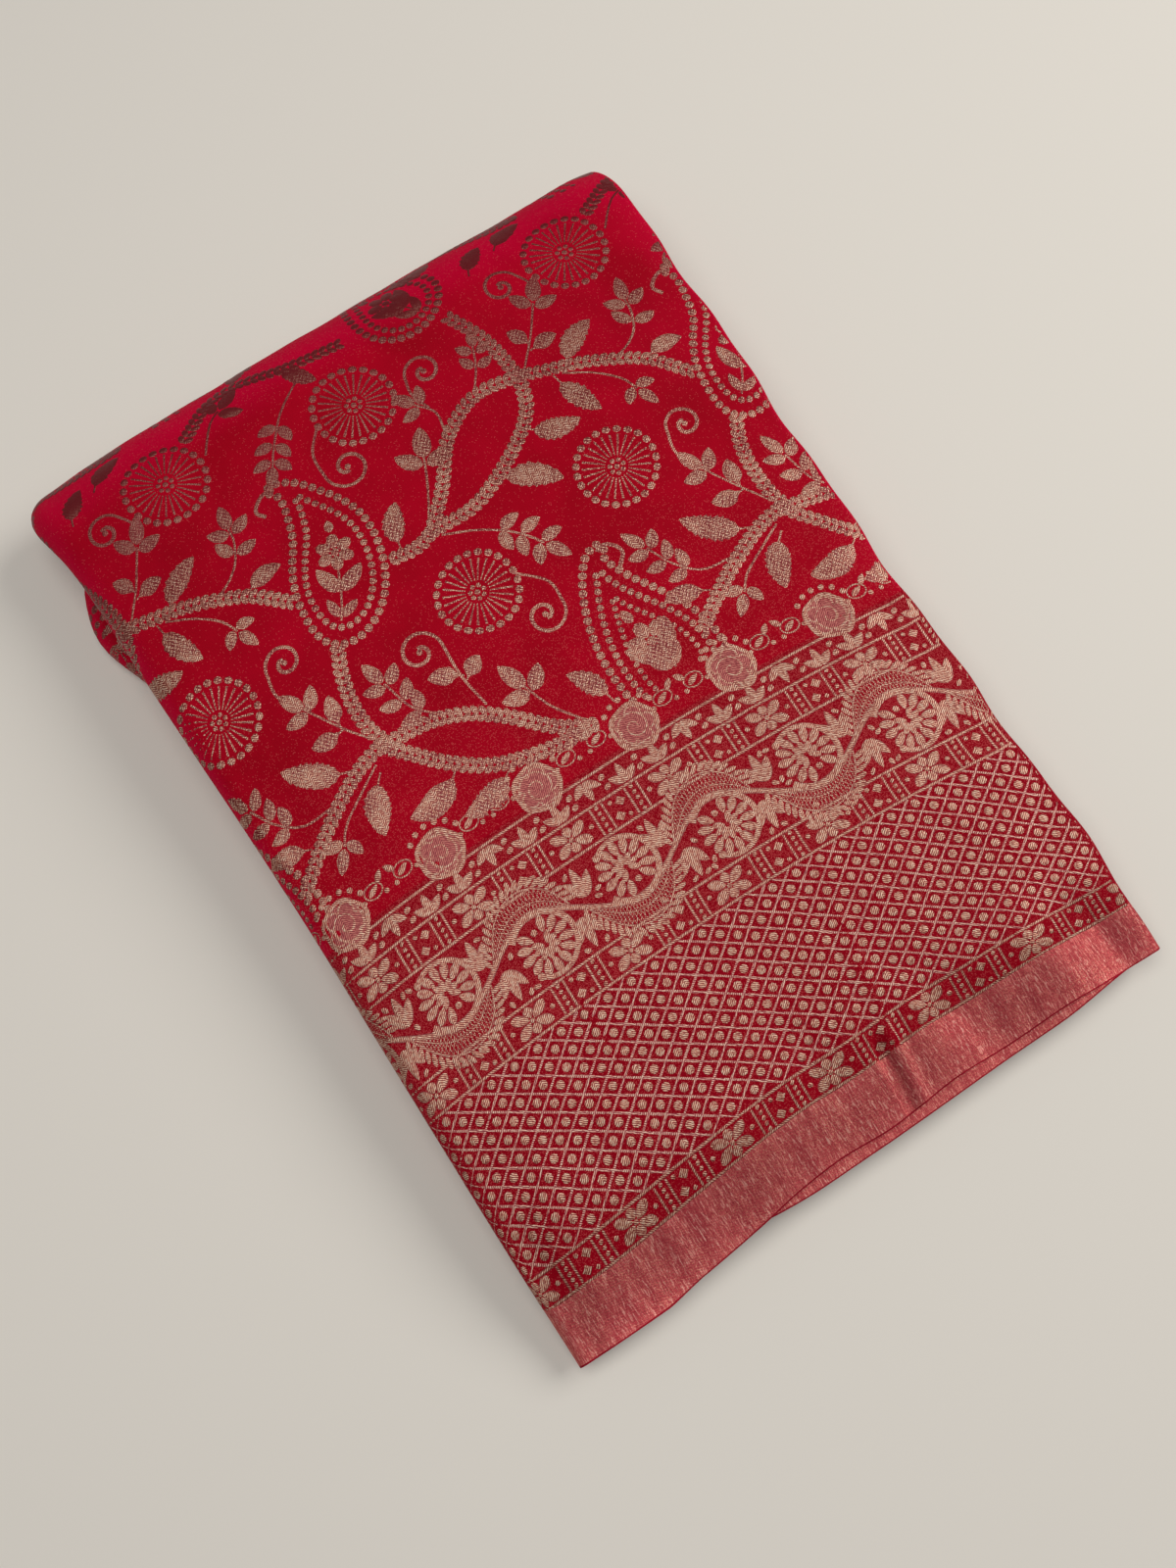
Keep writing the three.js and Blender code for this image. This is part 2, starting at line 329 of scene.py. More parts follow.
ply_x = np.concatenate([wrap_x, flat_x, edge_x + 0 * s, flap_x], axis=1)
ply_depth = np.concatenate([wrap_depth, 0 * flat_x, edge_depth, flap_depth], axis=1)
ply_u = np.concatenate([wrap_u, flat_u, edge_u, flap_u])
share = np.clip(ply_x / HALF_WIDTH, -1, 1)
on_flap = np.clip((ply_u - flat_u[-1]) / EDGE_ARC, 0, 1)


def pulled(share, table):
    """Pull of a hem at a share of the width, eased between the table's points."""
    fine = np.linspace(-1.2, 1.2, 241)
    values = np.interp(fine, *np.array(table).T)
    window = np.hanning(19)
    padded = np.pad(values, len(window) // 2, mode="edge")
    values = np.convolve(padded, window / window.sum(), mode="valid")
    return np.interp(share, fine, values) * MM


def hem_ease(s):
    """Share of the hem's pull that is left at s."""
    return np.clip(1 - s / HEM_EASE, 0, 1)


peep = pulled(share, FLAP_PULL)
hem_back = pulled(share, HEM_PULL) * (1 - on_flap) + peep * on_flap
weave_bow = bow(share, s) * (1 - on_flap) + peep * on_flap
ply_s = s + hem_back * hem_ease(s)
ply_v = np.maximum(s - weave_bow * (1 - hem_ease(s)), 0)
ply_v[0] = 0
ply_points = lay_cloth(ply_x, ply_s, ply_depth, FLAP_UNDER * on_flap)
sheet.add(ply_points, np.stack([ply_u + 0 * s, ply_v], axis=-1))

# The pleats inside the wrap, back and forth from the lowest ply up to just under the flap.
PLEAT_LEFT, PLEAT_RIGHT = 9.5 * MM, 2.4 * MM    # how far their folds lie inside the outermost ply's sides
UNEVEN_LEFT, UNEVEN_RIGHT = 0.8 * MM, 1.8 * MM
LOWEST_LEFT = 8.8 * MM          # where the lowest ply runs into the wrap
PLEAT_BACK = 3.2                # mm that their hems lie behind the flap's
UNEVEN_BACK = 2.2
TURN_REACH = 0.7 * MM
TURN_RADIUS = 0.6 * MM
pleat_rows = np.unique(np.r_[0:len(row_s):3, len(row_s) - 1])
s, thick = row_s[pleat_rows, None], row_thick[pleat_rows, None]
pitch = thick / (PLY_LEVELS - 1)
shares = np.array([-1, -0.985, -0.8, -0.6, -0.4, -0.2, 0, 0.3, 0.6, 0.8, 0.985, 1])
u = wrap_u[0]
columns_x, columns_level, columns_u, columns_hem = [], [], [], []
for order, level in enumerate(range(PLY_LEVELS - 1, FLAP_LEVEL, -1)):
    way = 1 if order % 2 == 0 else -1
    left = -HALF_WIDTH + PLEAT_LEFT + uneven(rng, UNEVEN_LEFT)
    right = HALF_WIDTH - PLEAT_RIGHT + uneven(rng, UNEVEN_RIGHT)
    if order == 0:
        left = -HALF_WIDTH + LOWEST_LEFT
    xs = (left + (right - left) * (shares + 1) / 2)[::way]
    back = (PLEAT_BACK + uneven(rng, UNEVEN_BACK)) * MM
    for x in xs:
        columns_x.append(x)
        columns_level.append(level)
        columns_u.append(u - abs(x - xs[0]))
        from_side = min(1, 4 * (1 - abs(x) / HALF_WIDTH))
        columns_hem.append(pulled(x / HALF_WIDTH, FLAP_PULL) + back * from_side)
    u -= abs(xs[-1] - xs[0])
    if level - 1 > FLAP_LEVEL:
        for angle in np.linspace(0, math.pi, 5)[1:-1]:
            columns_x.append(xs[-1] + way * TURN_REACH * math.sin(angle))
            columns_level.append(level - (1 - math.cos(angle)) / 2)
            columns_u.append(u - TURN_RADIUS * angle)
            columns_hem.append(pulled(xs[-1] / HALF_WIDTH, FLAP_PULL))
        u -= TURN_RADIUS * math.pi
ply_x = np.array(columns_x)[::-1] + 0 * s
ply_depth = np.array(columns_level)[::-1] * pitch
ply_s = s + np.array(columns_hem)[::-1] * hem_ease(s)
ply_u = np.array(columns_u)[::-1] + 0 * s
sheet.add(lay_cloth(ply_x, ply_s, ply_depth, 1.0), np.stack([ply_u, s + 0 * ply_u], axis=-1))


def placed(name, data):
    """New object in the scene."""
    thing = bpy.data.objects.new(name, data)
    bpy.context.scene.collection.objects.link(thing)
    return thing


cloth_mesh = bpy.data.meshes.new("sari_cloth")
cloth_mesh.from_pydata(np.concatenate(sheet.points).tolist(), [], np.concatenate(sheet.faces).tolist())
corners = np.empty(len(cloth_mesh.loops), dtype=np.int32)
cloth_mesh.loops.foreach_get("vertex_index", corners)
cloth_layout = cloth_mesh.uv_layers.new(name="cloth")
cloth_layout.data.foreach_set("uv", np.concatenate(sheet.flat)[corners].astype(np.float32).ravel())
cloth_mesh.shade_smooth()
cloth = placed("sari_cloth", cloth_mesh)


class Nodes:
    """Short way to add and link nodes in one tree."""

    def __init__(self, tree):
        self.tree = tree

    def plug(self, socket, value):
        if isinstance(value, bpy.types.NodeSocket):
            self.tree.links.new(value, socket)
        else:
            socket.default_value = value

    def __call__(self, kind, settings=None, **inputs):
        node = self.tree.nodes.new(kind)
        for name, value in (settings or {}).items():
            setattr(node, name, value)
        for name, value in inputs.items():
            numbered = name[0] == "i" and name[1:].isdigit()
            self.plug(node.inputs[int(name[1:]) if numbered else name.replace("_", " ")], value)
        return node

    def math(self, operation, first, second=0.0, third=0.0):
        return self("ShaderNodeMath", {"operation": operation}, i0=first, i1=second, i2=third).outputs[0]

    def mix(self, share, first, second):
        node = self("ShaderNodeMix", {"data_type": "RGBA"}, Factor=share)
        for name, value in (("A", first), ("B", second)):
            self.plug([s for s in node.inputs if s.name == name and s.type == "RGBA"][0], value)
        return [s for s in node.outputs if s.type == "RGBA"][0]

    def ramp(self, value, start, end, low=0.0, high=1.0, kind="LINEAR"):
        """low to high while a value goes from start to end."""
        return self("ShaderNodeMapRange", {"interpolation_type": kind}, Value=value, From_Min=start,
                    From_Max=end, To_Min=low, To_Max=high).outputs[0]

    def ease(self, value, start, end, low=0.0, high=1.0):
        return self.ramp(value, start, end, low, high, "SMOOTHSTEP")

    def band(self, value, start, end, soft):
        """1 between start and end of a value, falling off over soft."""
        rise = self.ease(value, start - soft, start + soft)
        return self.math("MULTIPLY", rise, self.ease(value, end - soft, end + soft, 1.0, 0.0))

    def noise(self, place, scale, detail, distortion=0.0):
        return self("ShaderNodeTexNoise", {"noise_dimensions": "2D"}, Vector=place, Scale=scale,
                    Detail=detail, Distortion=distortion).outputs[0]


def colour(red, green, blue):
    """A colour given as it looks on screen, from 0 to 255, for a shader."""
    values = [c / 255 for c in (red, green, blue)]
    return [v / 12.92 if v <= 0.04045 else ((v + 0.055) / 1.055) ** 2.4 for v in values] + [1.0]


def new_material(name):
    """A material with a way to add nodes to it and its shader."""
    material = bpy.data.materials.new(name)
    material.use_nodes = True
    return material, Nodes(material.node_tree), material.node_tree.nodes["Principled BSDF"]


def new_group(name, inputs, outputs):
    group = bpy.data.node_groups.new(name, "ShaderNodeTree")
    for label, kind, value in inputs:
        socket = group.interface.new_socket(label, in_out="INPUT", socket_type=kind)
        if value is not None:
            socket.default_value = value
    for label, kind in outputs:
        group.interface.new_socket(label, in_out="OUTPUT", socket_type=kind)
    add = Nodes(group)
    return group, add, add("NodeGroupInput"), add("NodeGroupOutput")


def plain_weave_group():
    """Weft and warp of a plain weave, as a height and as a shade of the gaps between threads."""
    group, add, given, result = new_group(
        "plain_weave",
        (("Flat", "NodeSocketVector", None), ("Pitch", "NodeSocketFloat", 0.0005)),
        (("Height", "NodeSocketFloat"), ("Gap", "NodeSocketFloat")))
    turns = add.math("DIVIDE", 2 * math.pi, given.outputs["Pitch"])
    flat = add("ShaderNodeSeparateXYZ", Vector=given.outputs["Flat"])
    waves = [add.math("SINE", add.math("MULTIPLY", flat.outputs[k], turns)) for k in (0, 1)]
    height = add.math("MULTIPLY_ADD", add.math("MULTIPLY", waves[0], waves[1]), 0.5, 0.5)
    gap = add.math("SUBTRACT", 1.0, add.math("POWER", height, 0.5))
    group.links.new(height, result.inputs["Height"])
    group.links.new(gap, result.inputs["Gap"])
    return group


plain_weave = plain_weave_group()
TISSUE_WIDTH = 21 * MM
BORDER_WIDTH = 156 * MM
GEORGETTE_PITCH = 0.62 * MM     # of the crepe threads
SPECK_SIZE = 0.24 * MM
CRIMSON = colour(167, 0, 22)
CRIMSON_DEEP = colour(132, 0, 14)
CRIMSON_PINK = colour(190, 0, 37)
# Painted sheen: the ground's colour where it is seen at a slant.
CRIMSON_PAINTED_SHEEN = colour(206, 0, 54)
BORDER_RED = colour(132, 0, 18)
TISSUE_PINK = colour(214, 90, 93)
TISSUE_COPPER = colour(240, 160, 132)
TISSUE_SHADE = colour(156, 40, 54)
TISSUE_PAINTED_GLINT = colour(255, 206, 186)
SELVEDGE_RED = colour(150, 24, 40)
SPECK_GOLD = colour(236, 112, 108)


def cloth_material():
    material, add, shader = new_material("crimson_georgette")
    shader.inputs["Specular IOR Level"].default_value = 0.04
    shader.inputs["Sheen Weight"].default_value = 0.03
    shader.inputs["Sheen Roughness"].default_value = 0.45
    shader.inputs["Sheen Tint"].default_value = colour(255, 60, 100)
    flat = add("ShaderNodeUVMap", {"uv_map": "cloth"}).outputs[0]
    v = add("ShaderNodeSeparateXYZ", Vector=flat).outputs[1]
    tissue = add.band(v, -1.0, TISSUE_WIDTH, 0.15 * MM)
    border = add.band(v, TISSUE_WIDTH, BORDER_WIDTH, 0.5 * MM)
    weave = add("ShaderNodeGroup", {"node_tree": plain_weave}, Flat=flat, Pitch=GEORGETTE_PITCH)
    broad = add.noise(flat, 38.0, 3.0)
    fine = add.noise(flat, 1500.0, 2.0)
    ground = add.mix(broad, CRIMSON_DEEP, CRIMSON_PINK)
    ground = add.mix(0.3, ground, CRIMSON)
    # Painted sheen: seen at a slant the ground is mixed towards a brighter pink, standing for the light
    # that crepe threads catch there.
    slant = add("ShaderNodeLayerWeight", Blend=0.75).outputs["Facing"]
    ground = add.mix(add.ease(slant, 0.2, 0.75, 0.0, 0.75), ground, CRIMSON_PAINTED_SHEEN)
    ground = add.mix(add.math("MULTIPLY", border, 0.75), ground, BORDER_RED)
    ground = add.mix(add.math("MULTIPLY", weave.outputs["Gap"], 0.45), ground, CRIMSON_DEEP)
    # Specks of the gold weft that shows between the threads, thickest in the border and just above it.
    above = add.ease(v, BORDER_WIDTH, BORDER_WIDTH + 90 * MM, 0.11, 0.02)
    inside = add.ease(v, 88 * MM, 93 * MM, 0.12, 0.28)
    above = add.ramp(border, 0.0, 1.0, above, 0.0)
    inside = add.ramp(border, 0.0, 1.0, 0.0, inside)
    level = add.math("SUBTRACT", 1.0, add.math("MAXIMUM", above, inside))
    cells = add("ShaderNodeVectorMath", {"operation": "SNAP"}, i0=flat, i1=(SPECK_SIZE, SPECK_SIZE, 1.0))
    specks = add("ShaderNodeTexWhiteNoise", {"noise_dimensions": "2D"}, Vector=cells.outputs[0])
    speck = add.math("MULTIPLY", add.math("GREATER_THAN", specks.outputs[0], level), 0.3)
    ground = add.mix(speck, ground, SPECK_GOLD)
    # Tissue selvedge: fine copper and pink threads along its width.
    combed = add("ShaderNodeMapping", Vector=flat, Scale=(1900.0, 330.0, 1.0)).outputs[0]
    threads = add.noise(combed, 1.0, 3.0, 0.8)
    warm = add.ramp(add.noise(flat, 2200.0, 1.0), 0.46, 0.66)
    drift = add.ramp(broad, 0.3, 0.7, 0.45, 1.0)
    selvedge = add.mix(add.math("MULTIPLY", warm, drift), TISSUE_PINK, TISSUE_COPPER)
    streaked = add("ShaderNodeMapping", Vector=flat, Scale=(190.0, 16.0, 1.0)).outputs[0]
    streak = add.ramp(add.noise(streaked, 1.0, 3.0), 0.34, 0.62, 0.55, 1.0)
    woven = add.ramp(threads, 0.36, 0.62, 0.4, 1.0)
    selvedge = add.mix(add.math("MULTIPLY", woven, streak), TISSUE_SHADE, selvedge)
    # Painted glints: the brightest threads are mixed towards a pale glint colour.
    selvedge = add.mix(add.ramp(threads, 0.56, 0.76, 0.0, 0.55), selvedge, TISSUE_PAINTED_GLINT)
    selvedge = add.mix(add.math("LESS_THAN", v, 0.5 * MM), selvedge, SELVEDGE_RED)
    shine = add.ramp(tissue, 0.0, 1.0, 0.0, 0.7)
    rise = add.math("ADD", weave.outputs["Height"], add.math("MULTIPLY", fine, 1.2))
    rise = add.math("ADD", rise, add.math("MULTIPLY", broad, 2.0))
    bump = add("ShaderNodeBump", Height=rise, Strength=0.55, Distance=0.12 * MM)
    add.plug(shader.inputs["Base Color"], add.mix(tissue, ground, selvedge))
    add.plug(shader.inputs["Roughness"], add.ramp(tissue, 0.0, 1.0, 0.66, 0.42))
    add.plug(shader.inputs["Metallic"], add.math("ADD", shine, add.math("MULTIPLY", speck, 0.4)))
    add.plug(shader.inputs["Normal"], bump.outputs[0])
    return material


cloth.data.materials.append(cloth_material())
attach(cloth, "root")
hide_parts("sari")

# The jaal is the gold vine all over the sari's body: extra weft of flat zari thread, floated on the face of
# the georgette as rope stems, leaves, beaded wheels and paisleys. It repeats every 161 mm along the sari.
FLOAT_RISE = 0.08               # mm, how far a float of zari stands on the cloth
SUNK = 0.02                     # mm, how far its rim lies under the cloth's face


def curve(points, step=1.4):
    """Smooth line through the points, with even steps."""
    points = np.array(points, dtype=float)
    points = np.vstack([2 * points[0] - points[1], points, 2 * points[-1] - points[-2]])
    t = np.linspace(0, 1, 14, endpoint=False)[:, None]
    parts = []
    for a, b, c, d in zip(points, points[1:], points[2:], points[3:]):
        square, cube = 2 * a - 5 * b + 4 * c - d, 3 * b - a - 3 * c + d
        parts.append(b + (c - a) * t / 2 + square * t ** 2 / 2 + cube * t ** 3 / 2)
    return even_line(np.vstack(parts + [points[-2:-1]]), step)


def even_line(line, step):
    lengths = np.linalg.norm(np.diff(line, axis=0), axis=1)
    along = np.concatenate([[0], np.cumsum(lengths)])
    even = np.linspace(0, along[-1], max(3, round(along[-1] / step) + 1))
    return np.stack([np.interp(even, along, line[:, k]) for k in (0, 1)], axis=-1)


def heading(line):
    run = np.gradient(line, axis=0)
    return np.arctan2(run[:, 1], run[:, 0])


def beside(line, distance):
    """The line moved to its left by a distance."""
    angle = heading(line)
    return line + np.stack([-np.sin(angle), np.cos(angle)], axis=-1) * np.reshape(distance, (-1, 1))


def polar(centre, radius, angle):
    radius, angle = np.broadcast_arrays(radius, angle)
    reach = np.stack([radius * np.cos(angle), radius * np.sin(angle)], axis=-1)
    return np.array(centre, dtype=float) + reach


class Artwork:
    """Woven figures drawn flat in mm: u along the sari, v from its selvedge and a height over the cloth."""

    def __init__(self):
        self.points, self.quads, self.triangles, self.count = [], [], [], 0

    def strip(self, line, half, rise=FLOAT_RISE, columns=3):
        line = np.asarray(line, dtype=float)
        half = np.broadcast_to(half, len(line))
        rows = []
        for c in np.linspace(1, -1, columns):
            height = np.full(len(line), rise * (1 - abs(c) ** 4) - SUNK)
            rows.append(np.column_stack([beside(line, half * c), height]))
        points = np.stack(rows, axis=1)
        number = np.arange(points.shape[0] * columns).reshape(-1, columns) + self.count
        self.quads.append(grid_quads(number))
        self.points.append(points.reshape(-1, 3))
        self.count += number.size

    def beads(self, places, angles, length, width, rise=FLOAT_RISE, sides=8):
        """Rounded dabs of thread, each turned by its angle."""
        places = np.asarray(places, dtype=float).reshape(-1, 2)
        angles = np.broadcast_to(angles, len(places))[:, None]
        turn = np.arange(sides) * 2 * math.pi / sides
        x, y = np.cos(turn) * length / 2, np.sin(turn) * width / 2
        cos, sin = np.cos(angles), np.sin(angles)
        ring = np.stack([x * cos - y * sin, x * sin + y * cos], axis=-1)
        middle = places[:, None, :]
        layers = []
        for size, height in ((0.0, rise), (0.78, 0.9 * rise), (1.0, -SUNK)):
            flat = middle + ring[:, :1 if size == 0 else sides] * size
            layers.append(np.concatenate([flat, np.full(flat.shape[:2] + (1,), height)], axis=-1))
        points = np.concatenate(layers, axis=1)
        first = np.arange(len(places))[:, None] * points.shape[1] + self.count
        k, n = np.arange(sides), (np.arange(sides) + 1) % sides
        tri = np.stack([first + 0 * k, first + 1 + k, first + 1 + n], axis=-1)
        inner, outer = first + 1, first + 1 + sides
        quad = np.stack([inner + k, outer + k, outer + n, inner + n], axis=-1)
        self.triangles.append(tri.reshape(-1, 3))
        self.quads.append(quad.reshape(-1, 4))
        self.points.append(points.reshape(-1, 3))
        self.count += points.shape[0] * points.shape[1]

    def leaf(self, base, tip, width, bend=0.0, teeth=0, stalk=0.0):
        base, tip = np.array(base, dtype=float), np.array(tip, dtype=float)
        length = np.linalg.norm(tip - base)
        t = np.linspace(0, 1, max(9, round(length / 1.2)) if not teeth else 4 * teeth + 1)
        side = np.array([base[1] - tip[1], tip[0] - base[0]]) / length
        line = base + np.outer(t, tip - base) + np.outer(bend * 4 * t * (1 - t), side)
        blade = np.clip((t - stalk) / (1 - stalk), 0, 1)
        half = width / 2 * np.maximum(np.sin(math.pi * blade ** 0.8), 0.02) ** 0.64
        if teeth:
            half = half * (1 - 0.24 * ((t * teeth) % 1))
        self.strip(line, np.maximum(half, 0.4 * (t < 0.5)), columns=5)

    def rope(self, points):
        """Stem of two rows of slanting beads."""
        line = curve(points, 2.8)
        angle = heading(line)
        for side in (1, -1):
            self.beads(beside(line, side * 1.3), angle + side * 0.75, 4.1, 2.5)

    def sprig(self, points, pairs, size):
        """Thin stem that ends in a leaf, with pairs of leaves behind it."""
        line = curve(points, 0.8)
        self.strip(line[::2], 0.58)
        angle = heading(line)
        self.leaf(line[-1], polar(line[-1], size * 1.15, angle[-1]), size * 0.7)
        for pair in range(pairs):
            at = max(0, len(line) - 2 - round((0.2 + 0.9 * pair) * size / 0.8))
            for side in (1, -1):
                spread = angle[at] + side * (1.05 - 0.1 * pair)
                base, tip = (polar(line[at], reach, spread) for reach in (0.8, size * 1.05))
                self.leaf(base, tip, size * 0.66, side * 0.3)

    def spiral(self, points, size, side):
        """Stem that ends in a curl to its left (1) or right (-1)."""
        line = curve(points, 1.0)
        angle = heading(line)[-1]
        turn = np.linspace(0, 2.5 * math.pi, 34)
        radius = size * (1 - turn / turn[-1] * 0.82)
        centre = polar(line[-1], size, angle + side * math.pi / 2)
        curl = polar(centre, radius, angle - side * math.pi / 2 + side * turn)
        whole = even_line(np.vstack([line, curl[1:]]), 1.2)
        self.strip(whole, np.linspace(0.6, 1.05, len(whole)))
        self.beads(centre, 0, 2.4, 2.4)

    def wheel(self, centre, radius):
        rim = np.arange(24) * 2 * math.pi / 24
        self.beads(polar(centre, radius - 1.45, rim), rim, 2.9, 3.3)
        for angle in np.arange(26) * 2 * math.pi / 26 + 0.06:
            spoke = polar(centre, np.linspace(0.27 * radius, radius - 3.5, 5), angle)
            self.strip(spoke, np.linspace(0.3, 0.56, 5))
        self.beads([centre], 0, 2.2, 2.2)
        hub = np.arange(7) * 2 * math.pi / 7
        self.beads(polar(centre, 2.5, hub), hub, 1.9, 1.9)

    def paisley(self, points, width, rows, lowest):
        """Drop round a bent spine from its broad foot to its tip: rows of beads and a flower inside."""
        spine = curve(points, 0.4)
        curl = round(0.84 * len(spine))
        for row in range(rows):
            scale = 1 - 8.5 * row / width
            step, size = 3.3 - 0.3 * row, 3.2 - 0.5 * row
            first, last = 0.3 * (1 - scale), 1 - 0.62 * (1 - scale)
            part = spine[round(curl * first):round(curl * last)]
            t = np.linspace(0, 1, len(part))
            broad = np.sqrt(np.clip(1 - (1 - t / 0.36) ** 2, 0, 1))
            narrow = 0.08 + 0.92 * np.cos(math.pi / 2 * np.clip((t - 0.36) / 0.64, 0, 1)) ** 1.2
            half = width / 2 * scale * np.where(t < 0.36, broad, narrow)
            line = even_line(np.vstack([beside(part, half)[::-1], beside(part, -half)]), step)
            line = line[line[:, 1] > lowest]
            self.beads(line, heading(line), size, size * 1.05)
        self.strip(spine[curl - 6::3], 1.0)
        inside = spine[round(0.1 * len(spine)):round(0.4 * len(spine))]
        inside = inside[inside[:, 1] > lowest + 4]
        if len(inside) > 20:
            angle = heading(inside)
            self.strip(inside[::4], 0.58)
            petals = np.arange(6) * math.pi / 3 + angle[-1]
            self.beads(polar(inside[-1], 0.135 * width, petals), petals, 0.19 * width, 0.15 * width)
            self.beads(inside[-1], 0, 0.1 * width, 0.1 * width)
            bud = [polar(inside[-1], reach * width, angle[-1]) for reach in (0.25, 0.4)]
            self.leaf(bud[0], bud[1], 0.12 * width)
            for share, reach in ((0.42, 0.38 * width), (0.06, 0.25 * width)):
                at = round(share * len(inside))
                for side in (1, -1):
                    tip = polar(inside[at], reach, angle[at] + 0.7 * side)
                    self.leaf(inside[at], tip, 0.55 * reach, 0.4 * side)

    def copied(self, shift_u, shift_v, u_range, v_range):
        """A moved copy, without the faces that lie outside a range."""
        points = np.concatenate(self.points) + (shift_u, shift_v, 0)
        result = Artwork()
        result.points, result.count = [points], len(points)
        for name, corners in (("quads", 4), ("triangles", 3)):
            faces = np.concatenate(getattr(self, name) + [np.zeros((0, corners), dtype=int)])
            middle = points[faces].mean(axis=1)
            inside = (middle[:, 0] > u_range[0]) & (middle[:, 0] < u_range[1])
            inside &= (middle[:, 1] > v_range[0]) & (middle[:, 1] < v_range[1])
            getattr(result, name).append(faces[inside])
        return result


def wrap_tree():
    """Geometry nodes that lay flat artwork on the cloth by the cloth's own flat layout."""
    tree = bpy.data.node_groups.new("wrap_on_cloth", "GeometryNodeTree")
    tree.is_modifier = True
    sockets = (
        ("Geometry", "INPUT", "NodeSocketGeometry"),
        ("Cloth", "INPUT", "NodeSocketObject"),
        ("Thread", "INPUT", "NodeSocketMaterial"),
        ("Geometry", "OUTPUT", "NodeSocketGeometry"),
    )
    for label, way, kind in sockets:
        tree.interface.new_socket(label, in_out=way, socket_type=kind)
    add = Nodes(tree)
    given, result = add("NodeGroupInput"), add("NodeGroupOutput")
    ground = add("GeometryNodeObjectInfo", Object=given.outputs["Cloth"])
    place = add("GeometryNodeInputPosition").outputs[0]
    normal = add("GeometryNodeInputNormal").outputs[0]
    axes = add("ShaderNodeSeparateXYZ", Vector=place)
    flat = add("ShaderNodeCombineXYZ", X=axes.outputs[0], Y=axes.outputs[1]).outputs[0]
    layout = add("GeometryNodeInputNamedAttribute", {"data_type": "FLOAT_VECTOR"}, Name="cloth").outputs[0]
    samples = []
    for field in (place, normal):
        samples.append(add("GeometryNodeSampleUVSurface", {"data_type": "FLOAT_VECTOR"},
                           i0=ground.outputs["Geometry"], i1=field, i2=layout, i3=flat))
    kept = add("FunctionNodeBooleanMath", {"operation": "NOT"}, i0=samples[0].outputs["Is Valid"])
    stored = add("GeometryNodeStoreNamedAttribute", {"data_type": "FLOAT2", "domain": "CORNER"},
                 Geometry=given.outputs["Geometry"], Name="flat", Value=flat)
    risen = add("GeometryNodeStoreNamedAttribute", {"data_type": "FLOAT", "domain": "POINT"},
                Geometry=stored.outputs[0], Name="rise", Value=axes.outputs[2])
    trimmed = add("GeometryNodeDeleteGeometry", {"domain": "POINT"}, Geometry=risen.outputs[0],
                  Selection=kept.outputs[0])
    raised = add("ShaderNodeVectorMath", {"operation": "SCALE"}, Vector=samples[1].outputs[0],
                 Scale=axes.outputs[2])
    laid = add("ShaderNodeVectorMath", {"operation": "ADD"}, i0=samples[0].outputs[0], i1=raised.outputs[0])
    moved = add("GeometryNodeSetPosition", Geometry=trimmed.outputs[0], Position=laid.outputs[0])
    real = add("GeometryNodeRealizeInstances", Geometry=moved.outputs[0])
    dressed = add("GeometryNodeSetMaterial", Geometry=real.outputs[0], Material=given.outputs["Thread"])
    tree.links.new(dressed.outputs[0], result.inputs["Geometry"])
    return tree


wrap_on_cloth = wrap_tree()


def wrapped(name, drawings, material):
    """One piece from flat drawings, laid on the cloth."""
    points, faces, count = [], [], 0
    for drawing in drawings:
        points += drawing.points
        for kind in (drawing.quads, drawing.triangles):
            for part in kind:
                faces += (part + count).tolist()
        count += drawing.count
    mesh = bpy.data.meshes.new(name + "_flat")
    mesh.from_pydata((np.concatenate(points) * MM).tolist(), [], faces)
    mesh.shade_smooth()
    piece = placed(name, mesh)
    wrap = piece.modifiers.new("wrap", "NODES")
    wrap.node_group = wrap_on_cloth
    inputs = [item for item in wrap_on_cloth.interface.items_tree if item.in_out == "INPUT"]
    sockets = {item.name: item.identifier for item in inputs}
    wrap[sockets["Cloth"]] = cloth
    wrap[sockets["Thread"]] = material
    evaluated = piece.evaluated_get(bpy.context.evaluated_depsgraph_get())
    laid = bpy.data.meshes.new_from_object(evaluated)
    piece.modifiers.remove(wrap)
    piece.data = laid
    laid.name = name
    bpy.data.meshes.remove(mesh)
    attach(piece, "root")
    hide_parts("sari")


ZARI_GOLD = colour(226, 168, 134)
ZARI_PAINTED_GLINT = colour(255, 230, 198)
ZARI_GAP = colour(114, 14, 22)
ROSE_PAINTED_GLINT = colour(218, 140, 120)
ZARI_ROSE = colour(194, 96, 88)
ZARI_BLUSH = colour(226, 158, 138)
ZARI_WINE = colour(124, 20, 36)

NET_PITCH = 1.5 * MM
TWILL_PITCH = 0.85 * MM
JAAL_RIB = 1.6 * MM             # width of the herringbone's ribs
BORDER_RIB = 7 * MM
RIM_HEIGHT = 0.045 * MM
# Where the painted shade on the zari of the far fold begins and where it is full.
PAINTED_SHADE_FROM, PAINTED_SHADE_TO = far_y - 62 * MM, far_y + 2 * MM


